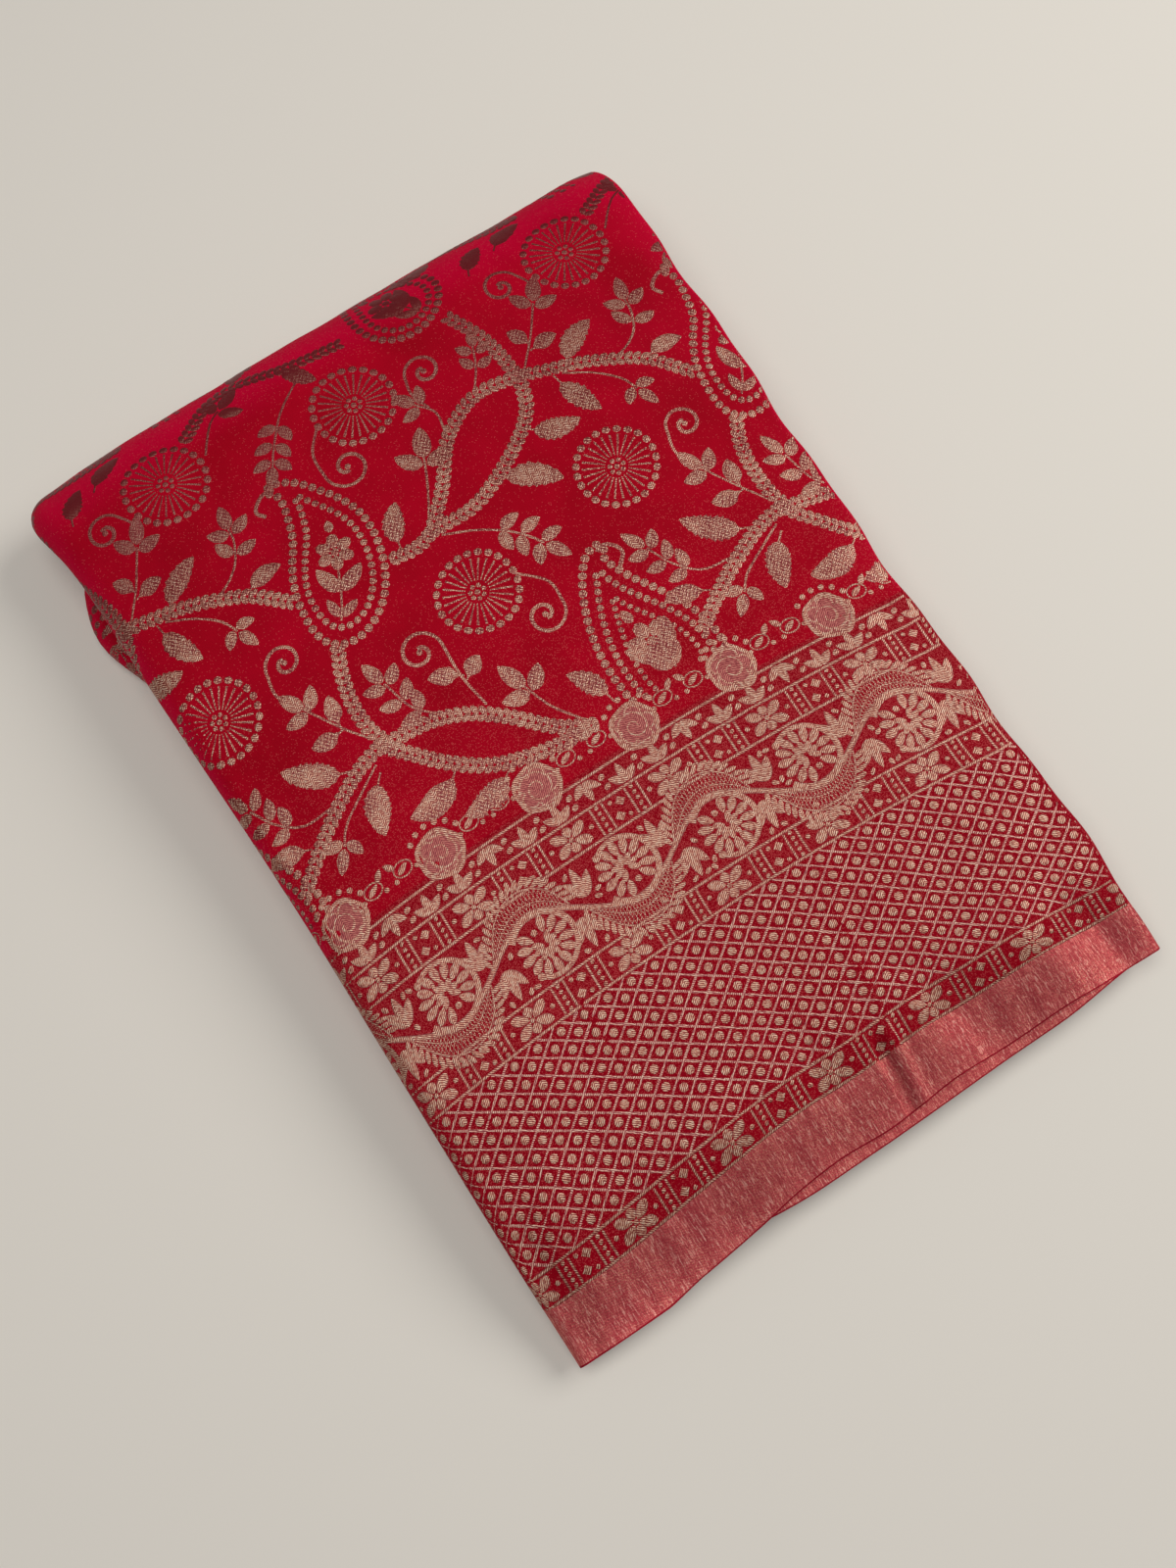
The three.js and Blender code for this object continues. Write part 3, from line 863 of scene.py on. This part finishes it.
def twill_group():
    """Herringbone twill of zari floats: how much of a float's light face shows."""
    group, add, given, result = new_group(
        "zari_twill",
        (("Flat", "NodeSocketVector", None), ("Pitch", "NodeSocketFloat", 0.001),
         ("Net", "NodeSocketFloat", 0.0), ("Rib", "NodeSocketFloat", 0.002)),
        (("Float", "NodeSocketFloat"),))
    flat = add("ShaderNodeSeparateXYZ", Vector=given.outputs["Flat"])
    waver = add.noise(given.outputs["Flat"], 700.0, 1.0)
    zigzag = add.math("PINGPONG", flat.outputs[0], given.outputs["Rib"])
    slant = add.math("MULTIPLY_ADD", zigzag, -0.9, flat.outputs[1])
    slant = add.math("MULTIPLY_ADD", waver, 0.6 * MM, slant)
    turns = add.math("DIVIDE", 2 * math.pi, given.outputs["Pitch"])
    wave = add.math("MULTIPLY_ADD", add.math("SINE", add.math("MULTIPLY", slant, turns)), 0.5, 0.5)
    # Binding threads cross the floats as a net of diamonds, more in some places than in others.
    meshes = []
    for way in (0.8, -0.8):
        diagonal = add.math("MULTIPLY_ADD", flat.outputs[1], way, flat.outputs[0])
        diagonal = add.math("MULTIPLY_ADD", waver, 0.4 * MM, diagonal)
        turned = add.math("MULTIPLY", diagonal, math.pi / NET_PITCH)
        meshes.append(add.math("ABSOLUTE", add.math("SINE", turned)))
    net = add.ease(add.math("MINIMUM", meshes[0], meshes[1]), 0.1, 0.55)
    where = add.ramp(add.noise(given.outputs["Flat"], 80.0, 1.0), 0.35, 0.6, 0.35, 1.0)
    bound = add.math("MULTIPLY", where, given.outputs["Net"])
    open_net = add.ramp(bound, 0.0, 1.0, 1.0, net)
    group.links.new(add.math("MULTIPLY", wave, open_net), result.inputs["Float"])
    return group


zari_twill = twill_group()


def zari_material(name, face, painted_glint, gap, metallic, net, rib, rim):
    """Zari thread: colours of its face, painted glints and gaps, shine, netting, ribs and how dark its rim
    outline of binding and painted shade is.
    """
    material, add, shader = new_material(name)
    shader.inputs["Metallic"].default_value = metallic
    flat = add("ShaderNodeUVMap", {"uv_map": "flat"}).outputs[0]
    twill = add("ShaderNodeGroup", {"node_tree": zari_twill}, Flat=flat, Pitch=TWILL_PITCH, Net=net,
                Rib=rib)
    glint = add.noise(flat, 900.0, 2.0)
    patch = add.noise(flat, 60.0, 2.0)
    # Painted glints: pale flecks mixed into the face colour of the thread.
    painted_glint_share = add.ramp(glint, 0.42, 0.68)
    tone = add.mix(add.math("MULTIPLY", painted_glint_share, 0.8), face, painted_glint)
    tone = add.mix(add.ease(twill.outputs[0], 0.36, 0.6), gap, tone)
    tone = add.mix(add.ramp(glint, 0.46, 0.3, 0.0, 0.6), tone, gap)
    tone = add.mix(add.math("MULTIPLY", patch, 0.25), tone, gap)
    # The ground's threads bind each figure down at its rim, which leaves a dark outline; part of its
    # darkness is painted shade where the float meets the cloth.
    height = add("ShaderNodeAttribute", {"attribute_name": "rise"}).outputs["Fac"]
    tone = add.mix(add.ease(height, 0.0, RIM_HEIGHT, rim, 0.0), tone, gap)
    # Painted shade: the zari is darkened towards and over the far fold, where its faces would mirror the
    # dim far side of the room, and more where it is seen at a slant.
    slant = add("ShaderNodeLayerWeight", Blend=0.75).outputs["Facing"]
    slant_shade = add.math("MAXIMUM", add.ease(slant, 0.2, 0.55), 0.75)
    along = add("ShaderNodeSeparateXYZ", Vector=add("ShaderNodeTexCoord").outputs["Object"]).outputs[1]
    turned = add.ease(along, PAINTED_SHADE_FROM, PAINTED_SHADE_TO, 0.15, 1.0)
    tone = add.mix(add.math("MULTIPLY", slant_shade, turned), tone, gap)
    bump = add("ShaderNodeBump", Height=twill.outputs[0], Strength=0.4, Distance=0.1 * MM)
    add.plug(shader.inputs["Base Color"], tone)
    add.plug(shader.inputs["Roughness"], add.ramp(glint, 0.0, 1.0, 0.36, 0.58))
    add.plug(shader.inputs["Normal"], bump.outputs[0])
    return material


zari = zari_material("zari_gold", ZARI_GOLD, ZARI_PAINTED_GLINT, ZARI_GAP, 0.42, 0.9, JAAL_RIB, 0.4)
zari_plain = zari_material("zari_gold_plain", ZARI_GOLD, ZARI_PAINTED_GLINT, ZARI_GAP, 0.42, 0.0, BORDER_RIB, 0.85)
rose_pink = zari_material("rose_pink", ZARI_ROSE, ROSE_PAINTED_GLINT, ZARI_GAP, 0.3, 0.0, BORDER_RIB, 0.0)
pink_gold = zari_material("pink_gold", ZARI_BLUSH, ZARI_PAINTED_GLINT, ZARI_WINE, 0.25, 0.0, BORDER_RIB, 0.0)

JAAL_START = 166
JAAL_REPEAT = 161
JAAL_ROW = (80, 190)            # from one row of the vine to the next, along the sari and across it
SPRIG_SCALE = 1.14
LEAF_SCALE = 1.16
LEAF_STALK = 0.2                # share of a broad leaf's length
WHEEL_RADIUS = 15.8
WHEELS = ((-7, 230), (57, 244), (-7, 316), (86, 329))
ROPES = (
    ((1, 168), (-10, 174), (-22, 186), (-33, 195), (-45, 200), (-60, 202)),
    ((1, 168), (-7, 168), (-20, 170), (-35, 175), (-47, 184), (-56, 194), (-62, 201)),
    ((-61, 202), (-63.5, 210), (-63.5, 220), (-61, 231), (-57.5, 240)),
    ((-25, 257), (-16, 256), (-9, 258)),
    ((-9, 258), (2, 270), (14, 286), (30, 295), (46, 294)),
    ((-9, 258), (9, 258), (27, 267), (41, 279), (47, 292)),
    ((48, 293), (68, 286), (87, 276), (99, 264)),
    ((47, 293), (46, 304), (43, 315), (38, 327)),
    ((99, 203), (87, 200), (75, 194), (62, 186), (50, 177)),
    ((-60, 340), (-40, 352), (-18, 344), (2, 341)),
)
# Spine from foot to tip, width and rows of beads of each paisley.
PAISLEYS = (
    (((-56, 241), (-46, 257), (-39, 277), (-40, 294), (-44, 303), (-50, 305), (-55, 301), (-53, 297)),
     31.5, 2),
    (((37, 146), (36, 166), (32, 187), (30, 205), (32, 217), (38, 221), (42, 216), (38, 211)), 38, 3),
    (((34, 331), (27, 343), (19, 356), (12, 366), (6, 366)), 32, 2),
)
CURLS = (
    (((85, 227), (78, 238), (79, 248)), 7.0, -1),
    (((7, 229), (15, 220), (15, 210)), 7.5, -1),
    (((-26, 194), (-28, 208), (-27, 222)), 8.0, 1),
    (((66, 318), (69, 324), (66, 331)), 7.0, 1),
    (((-21, 317), (-28, 308), (-28.5, 297)), 8.5, 1),
    (((15, 300), (12, 308), (13, 315)), 7.0, -1),
)
SPRIGS = (
    (((96, 207), (90, 216), (83, 229)), 1, 8.0),
    (((73, 195), (62, 196), (54, 203), (49, 213)), 3, 7.0),
    (((93, 198), (84, 193), (74, 187), (69, 181)), 1, 6.5),
    (((-36, 197), (-47, 207), (-51, 221)), 3, 7.4),
    (((0, 170), (-8, 181), (-12, 192)), 1, 9.0),
    (((-10, 258), (-3, 271), (3, 284)), 1, 9.5),
    (((50, 294), (58, 304), (66, 317)), 1, 8.0),
    (((66, 285), (79, 282), (89, 287), (94, 295), (95, 301)), 2, 7.4),
    (((-7, 255), (3, 250), (12, 244), (18, 238), (22, 232)), 3, 7.4),
    (((-17, 336), (-29, 328), (-38, 318), (-42, 312)), 3, 6.6),
    (((31, 296), (36, 304), (39, 312)), 2, 6.0),
    (((14, 287), (16, 297), (11, 304)), 1, 7.0),
    (((60, 286), (69, 280), (76, 273), (79, 266)), 1, 6.5),
    (((-58, 330), (-50, 340), (-44, 344)), 1, 8.0),
)
# Base, tip, width, bend and number of teeth of each broad leaf.
LEAVES = (
    ((86, 201), (65, 216), 10.0, 2.0, 6),
    ((93, 195), (83, 176), 10.0, -2.0, 5),
    ((60, 188), (44, 192), 7.0, -1.0, 0),
    ((11, 171), (2, 188), 8.0, -1.5, 4),
    ((90, 216), (92.5, 228), 6.0, 0.5, 0),
    ((90, 215), (78, 216), 6.5, 0.8, 0),
    ((-27, 205), (-19, 210), 6.5, 0.5, 0),
    ((-27, 207), (-38, 213), 6.5, -0.5, 0),
    ((-46, 182), (-68, 176), 9.5, 3.5, 0),
    ((-30, 172), (-52, 166), 10.0, 3.0, 5),
    ((62, 287), (80, 300), 9.0, 2.0, 4),
    ((88, 276), (103, 278), 6.5, 1.5, 0),
    ((57, 287), (64, 266), 9.0, -1.5, 4),
    ((37, 275), (56, 267), 9.0, -2.5, 5),
    ((18, 262), (39, 250), 10.5, 2.0, 4),
    ((-21, 258), (-14, 275), 8.5, 1.5, 4),
    ((56, 300), (67, 301), 6.0, 0.5, 0),
    ((57, 302), (52, 311), 5.5, -0.5, 0),
    ((-36, 351), (-26, 364), 8.0, 1.5, 4),
    ((-20, 346), (-12, 332), 7.5, -1.0, 0),
    ((53, 338), (63, 350), 8.0, 1.5, 4),
    ((66, 344), (80, 352), 8.0, 2.0, 0),
)
jaal = Artwork()
for centre in WHEELS:
    jaal.wheel(centre, WHEEL_RADIUS)
for points in ROPES:
    jaal.rope(points)
for points, width, rows in PAISLEYS:
    jaal.paisley(points, width, rows, JAAL_START)
for points, size, side in CURLS:
    jaal.spiral(points, size, side)
for points, pairs, size in SPRIGS:
    jaal.sprig(points, pairs, SPRIG_SCALE * size)
for base, tip, width, bend, teeth in LEAVES:
    jaal.leaf(base, tip, LEAF_SCALE * width, bend, 2 * teeth, LEAF_STALK)

cloth_left = wrap_u[0] / MM
cloth_right = flat_u[-1] / MM + 0.5
JAAL_UNDER = 392                # v where the vine passes under the stack
UNDER_LENGTH = 315              # mm of the base that carries the vine
zones = {
    "zari_jaal": (JAAL_START - 4, JAAL_UNDER),
    "zari_jaal_under": (JAAL_UNDER, far_end / MM + UNDER_LENGTH),
}
zari_names = []
for name, zone in zones.items():
    copies = []
    for row in range(3):
        for repeat in (-2, -1, 0, 1):
            shift = (JAAL_ROW[0] * (row % 2) + JAAL_REPEAT * repeat, JAAL_ROW[1] * row)
            copies.append(jaal.copied(shift[0], shift[1], (cloth_left, cloth_right), zone))
    wrapped(name, copies, zari)
    zari_names.append(name)

# The border runs along the selvedge: block bands, a scroll of fans and acanthus between them, and a row of
# roses at its upper edge, all woven in zari on a ground with more of the gold weft. Sizes are in mm.
BLOCK_BANDS = ((21.6, 31.6), (91.2, 101.8), (133.2, 144.2))
RULES = (21.3, 32.0, 91.0, 102.0, 133.0, 144.4, 154.0)
RULE_HALF = 0.74
BLOCK_UNIT = 39.0
BLOCK_OFFSETS = (3.0, 9.0, 12.0)
BLOCK_PETALS = ((30, 7.4), (90, 4.7), (150, 7.4), (210, 7.4), (270, 4.7), (330, 7.4))   # degrees, reach
BLOCK_PLACES = (12.6, 26.4)     # of the pairs of bars, from the flower
BAR_APART = 2.3                 # from a pair's middle
ROSE_LINE = 160.0
ROSE_OFFSET = 12.5
ROSE_RADIUS = 8.0
ROSE_GROUND = 15.4              # across the pink disc
ROSE_RISE = 0.14                # height of the outlines over the roses' pink ground
BUD_OFFSET = (13.4, 3.4)        # from the rose to the buds at its sides
LEAF_BAND = 149.2
SCROLL_MIDDLE = 117.5
SCROLL_PERIOD = 71.5
SCROLL_REACH = 7.5
RIB_HALF = 1.35
CURL_RADIUS = 11.6
ACANTHUS_DEPTH = 9.4
FAN_SIZE = 9.6
# Petals of a fan's two rows: number, half angle, then outer end, inner end and width against its size.
FAN_ROWS = ((12, 2.6, 1.06, 0.46, 0.39), (8, 2.3, 0.52, 0.08, 0.28))
BORDER_ZONE = (20, 172)

border = Artwork()
for v in RULES:
    u = np.arange(cloth_left, cloth_right, 2.0)
    border.strip(np.column_stack([u, np.full(len(u), v)]), RULE_HALF)


def units(pitch, offset):
    first = math.floor((cloth_left - offset) / pitch)
    last = math.ceil((cloth_right - offset) / pitch)
    return [offset + pitch * k for k in range(first, last + 1)]


def block_band(low, high, offset):
    """Flowers, pairs of bars with beads between them, and diamonds, in turn along a band."""
    middle, tall = (low + high) / 2, high - low
    for u in units(BLOCK_UNIT, offset):
        for degrees, reach in BLOCK_PETALS:
            angle = math.radians(degrees)
            border.leaf(polar((u, middle), reach, angle), polar((u, middle), 1.0, angle), 4.3)
        border.beads([(u, middle), (u - 7.9, middle), (u + 7.9, middle)], 0, 2.0, 1.9)
        for block in BLOCK_PLACES:
            for bar in (u + block - BAR_APART, u + block + BAR_APART):
                line = np.column_stack([np.full(8, bar), np.linspace(low + 0.5, high - 0.5, 8)])
                border.strip(line, 0.62)
            places = [(u + block, middle + k * tall * 0.2) for k in (-2, -1, 0, 1, 2)]
            border.beads(places, 0.7, 1.9, 1.5)
        border.beads([(u + 18.2, middle - 2.3), (u + 20.8, middle + 2.3)], 0.0, 4.2, 3.9, sides=4)
        border.beads([(u + 21.6, middle - 3.4), (u + 17.4, middle + 3.4)], 0.0, 1.8, 1.8)


for (low, high), offset in zip(BLOCK_BANDS, BLOCK_OFFSETS):
    block_band(low, high, offset)


def fan_flower(centre, angle, size):
    """Half-open flower seen from the side: two rows of petals spread from a small base."""
    for petals, spread, outer, inner, width in FAN_ROWS:
        for lean in np.linspace(-spread, spread, petals):
            ends = [polar(centre, size * reach, angle + lean) for reach in (outer, inner)]
            border.leaf(ends[0], ends[1], size * width)
    border.beads([polar(centre, size * 0.6, angle + math.pi)], 0, 2.6, 2.6)


def scroll_line(u):
    return np.column_stack([u, SCROLL_MIDDLE + SCROLL_REACH * np.sin(2 * math.pi * u / SCROLL_PERIOD)])


rib = scroll_line(np.arange(cloth_left, cloth_right, 1.2))
border.strip(rib, RIB_HALF)
first_half = math.floor(2 * cloth_left / SCROLL_PERIOD) - 1
last_half = math.ceil(2 * cloth_right / SCROLL_PERIOD)
for half in range(first_half, last_half + 1):
    crest = (half + 0.5) * SCROLL_PERIOD / 2
    way = 1 if half % 2 == 0 else -1
    # Curl that leaves the rib and closes round a fan on the hollow side of the wave.
    fan = (crest + 1.0, SCROLL_MIDDLE - way * 3.4)
    turn = np.linspace(-0.2, 4.6, 34)
    ring = polar(fan, CURL_RADIUS - 0.3 * turn, math.pi / 2 * way + way * 0.75 - way * turn)
    border.strip(ring, np.linspace(1.6, 1.0, len(ring)), columns=5)
    border.beads([ring[-1]], 0, 3.0, 3.0)
    fan_flower(fan, -way * math.pi / 2 + 0.25, FAN_SIZE)
    # Acanthus on the outer side: a leaf of mesh along the rib with a fringe of small leaves.
    arc = scroll_line(np.linspace(crest - 17, crest + 14, 32))
    depth = ACANTHUS_DEPTH * np.sin(math.pi * np.linspace(0.03, 0.97, len(arc)) ** 1.2)
    border.strip(beside(arc, way * depth), 0.5)
    border.strip(beside(arc, way * depth * 0.45), 0.32)
    for slant in (1, -1):
        inner, outer = beside(arc, way * depth * 0.12), beside(arc, way * depth * 0.95)
        for k in range(2, len(arc) - 2):
            line = np.array([inner[k], (inner[k] + outer[k + 2 * slant]) / 2, outer[k + 2 * slant]])
            border.strip(line, 0.2)
    fringe = even_line(beside(arc, way * (depth + 2.3)), 2.5)
    border.beads(fringe, heading(fringe) + way * 0.9, 4.9, 2.0)
    # Three leaves in each corner that the wave leaves free.
    for side in (1, -1):
        root = np.array([crest + side * 15.0, SCROLL_MIDDLE - way * 2.5])
        for lean, reach in ((-0.55, 9.0), (0.0, 11.0), (0.55, 9.0)):
            border.leaf(root, polar(root, reach, -way * math.pi / 2 + lean), 4.4)


def fill_with_seeds(drawing, low, high, pitch, clear, length, width):
    """Small slanting dabs of zari wherever a band of the border would be left bare."""
    taken = np.concatenate(drawing.points)[:, :2]
    taken = taken[(taken[:, 1] > low - 5) & (taken[:, 1] < high + 5)]
    free = []
    for row, v in enumerate(np.arange(low + pitch / 2, high, pitch * 0.9)):
        for u in np.arange(cloth_left + pitch / 2 * (row % 2), cloth_right, pitch):
            if np.min(np.hypot(taken[:, 0] - u, taken[:, 1] - v)) > clear:
                free.append((u, v))
    drawing.beads(free, np.sin(np.arange(len(free)) * 2.4) * 1.2, length, width)


fill_with_seeds(border, 103.2, 132.2, pitch=2.5, clear=1.5, length=3.0, width=1.9)

ground = Artwork()
for u in units(BLOCK_UNIT, ROSE_OFFSET):
    middle = (u, ROSE_LINE)
    around = np.linspace(0, 2 * math.pi, 33)
    edge = polar(middle, ROSE_RADIUS + 0.35 * np.cos(5 * around), around)
    ground.beads([middle], 0.0, ROSE_GROUND, ROSE_GROUND, rise=0.05, sides=24)
    border.strip(edge, 0.9, ROSE_RISE)
    swirl = np.linspace(0, 3.4 * math.pi, 40)
    border.strip(polar(middle, 1.0 + 5.6 * swirl / swirl[-1], swirl + u), 0.62, ROSE_RISE)
    for petal in np.arange(5) * 2 * math.pi / 5 + u:
        arch = polar(polar(middle, 4.6, petal), 2.8, np.linspace(petal - 1.8, petal + 1.8, 10))
        border.strip(arch, 0.55, ROSE_RISE)
    # Garland of beads over the rose, and a bud on each side of it.
    garland = polar(middle, 11.0, np.linspace(0.55, 2.3, 6))
    border.beads(garland, 0, 2.4, 2.4)
    for side in (1, -1):
        bud = np.array([u + side * BUD_OFFSET[0], ROSE_LINE + BUD_OFFSET[1]])
        ring = bud + polar((0, 0), 1.0, np.linspace(0, 2 * math.pi, 17)) * (3.5, 2.6)
        border.strip(ring, 0.42)
        border.leaf(bud - (2.2, 1.0), bud + (2.2, 1.2), 2.6)
        border.leaf(bud + (side * 2.6, 1.6), bud + (side * 5.4, 4.8), 2.8)
        border.beads([bud + (-side * 4.6, -1.8), bud + (side * 4.0, -2.6)], 0, 2.0, 2.0)
    # Trefoils, in turn upright and hanging, between the upper block band and the rule under the roses.
    for place in range(3):
        way = 1 if place % 2 == 0 else -1
        foot = np.array([u + place * BLOCK_UNIT / 3, LEAF_BAND - 3.6 * way])
        for lean in (-0.95, 0, 0.95):
            border.leaf(foot, polar(foot, 7.0 - 0.8 * abs(lean), way * math.pi / 2 + lean), 3.8)
        between = foot + (BLOCK_UNIT / 6, 0)
        border.beads([between + (0, 1.6 * way), between + (0, 5.4 * way)], 0.6, 3.0, 2.2)
fill_with_seeds(border, 145.2, 153.2, pitch=2.6, clear=1.6, length=2.4, width=1.6)
fill_with_seeds(border, 155.0, 163.0, pitch=2.8, clear=2.0, length=2.6, width=1.8)
wrapped("zari_border", [border.copied(0, 0, (cloth_left, cloth_right), BORDER_ZONE)], zari_plain)

# The roses' grounds are discs of pink thread, floated on the cloth like the zari and lying under the gold
# outlines of the petals.
wrapped("pink_grounds", [ground.copied(0, 0, (cloth_left, cloth_right), BORDER_ZONE)], rose_pink)
zari_names += ["zari_border", "pink_grounds"]

# The lattice fills the broad lower part of the border: fine zari lines crossed into diamonds, each with a
# round dot of zari floats in it.
LATTICE = (32.4, 90.6)
DIAMOND = (9.3, 6.95)           # along the selvedge and across it
LINE_HALF = 0.5
DOT = 3.4
lattice, lattice_dots = Artwork(), Artwork()
slope = DIAMOND[1] / DIAMOND[0]
rise_u = (LATTICE[1] - LATTICE[0]) / slope
for way in (1, -1):
    for start in np.arange(cloth_left - rise_u, cloth_right + rise_u, DIAMOND[0]):
        v = np.arange(LATTICE[0], LATTICE[1] + 0.1, 1.45)
        lattice.strip(np.column_stack([start + way * (v - LATTICE[0]) / slope, v]), LINE_HALF)
dots = []
first_u = cloth_left - rise_u
for row in range(int(2 * (LATTICE[1] - LATTICE[0]) / DIAMOND[1])):
    v = LATTICE[0] + DIAMOND[1] / 2 * (row + 1)
    shift = DIAMOND[0] / 2 * (row % 2)
    dots += [(u, v) for u in np.arange(first_u + shift, cloth_right + rise_u, DIAMOND[0])]
lattice_dots.beads(dots, math.pi / 8, DOT, DOT)
layers = (("lattice_lines", lattice, pink_gold), ("lattice_dots", lattice_dots, zari_plain))
for name, drawing, thread in layers:
    wrapped(name, [drawing.copied(0, 0, (cloth_left, cloth_right), LATTICE)], thread)
    zari_names.append(name)

# Camera at the photograph's angle: above the near left of the stack, turned a little about its own axis.
from mathutils import Matrix, Vector

VIEW_AZIMUTH, VIEW_ELEVATION, VIEW_ROLL = -23.5, 74.8, -9.9
CAMERA_PLACE = Vector((-64.7, -142.8, 510.6)) * MM
FOCAL_PIXELS = 1500
IMAGE_HEIGHT = 1600

camera_data = bpy.data.cameras.new("camera")
camera_data.sensor_fit = "VERTICAL"
camera_data.sensor_height = 36
camera_data.lens = camera_data.sensor_height * FOCAL_PIXELS / IMAGE_HEIGHT
camera_data.clip_start = 0.01
camera = placed("camera", camera_data)
azimuth, elevation, roll = (math.radians(a) for a in (VIEW_AZIMUTH, VIEW_ELEVATION, VIEW_ROLL))
level = math.cos(elevation)
back = Vector((math.sin(azimuth) * level, -math.cos(azimuth) * level, math.sin(elevation)))
right = Vector((math.cos(azimuth), math.sin(azimuth), 0))
up = back.cross(right)
rolled_right = right * math.cos(roll) + up * math.sin(roll)
rolled_up = up * math.cos(roll) - right * math.sin(roll)
turn = Matrix((rolled_right, rolled_up, back)).transposed().to_4x4()
camera.matrix_world = Matrix.Translation(CAMERA_PLACE) @ turn
bpy.context.scene.camera = camera
bpy.context.scene.view_settings.view_transform = "Standard"

# Pale floor under the stack.
FLOOR_HALF = 3.0
floor_corners = [(x * FLOOR_HALF, y * FLOOR_HALF, 0) for x, y in ((-1, -1), (1, -1), (1, 1), (-1, 1))]
floor_mesh = bpy.data.meshes.new("floor")
floor_mesh.from_pydata(floor_corners, [], [(0, 1, 2, 3)])
floor = placed("floor", floor_mesh)
floor_material, _, floor_shader = new_material("pale_floor")
floor_shader.inputs["Base Color"].default_value = colour(226, 219, 207)
floor_shader.inputs["Roughness"].default_value = 0.9
floor_mesh.materials.append(floor_material)
floor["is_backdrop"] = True


# Soft studio light: a large panel to the right, a weaker one overhead and a dim surround.
def area_light(name, place, aim, size, power):
    data = bpy.data.lights.new(name, "AREA")
    data.shape = "DISK"
    data.size = size
    data.energy = power
    light = placed(name, data)
    light.location = place
    light.rotation_euler = (Vector(aim) - Vector(place)).to_track_quat("-Z", "Y").to_euler()


area_light("window_light", (1.3, -0.1, 1.05), (0, 0, 0), 1.0, 15)
area_light("ceiling_light", (-0.22, 0.08, 1.5), (0, 0, 0), 1.3, 11.4)
world = bpy.data.worlds.new("studio")
bpy.context.scene.world = world
world.use_nodes = True
surround = world.node_tree.nodes["Background"]
surround.inputs["Color"].default_value = (0.9, 0.92, 1.0, 1)
surround.inputs["Strength"].default_value = 0.15

low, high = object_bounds()
{"cad": [list(cad_low), list(cad_high)], "visual": [list(low), list(high)]}
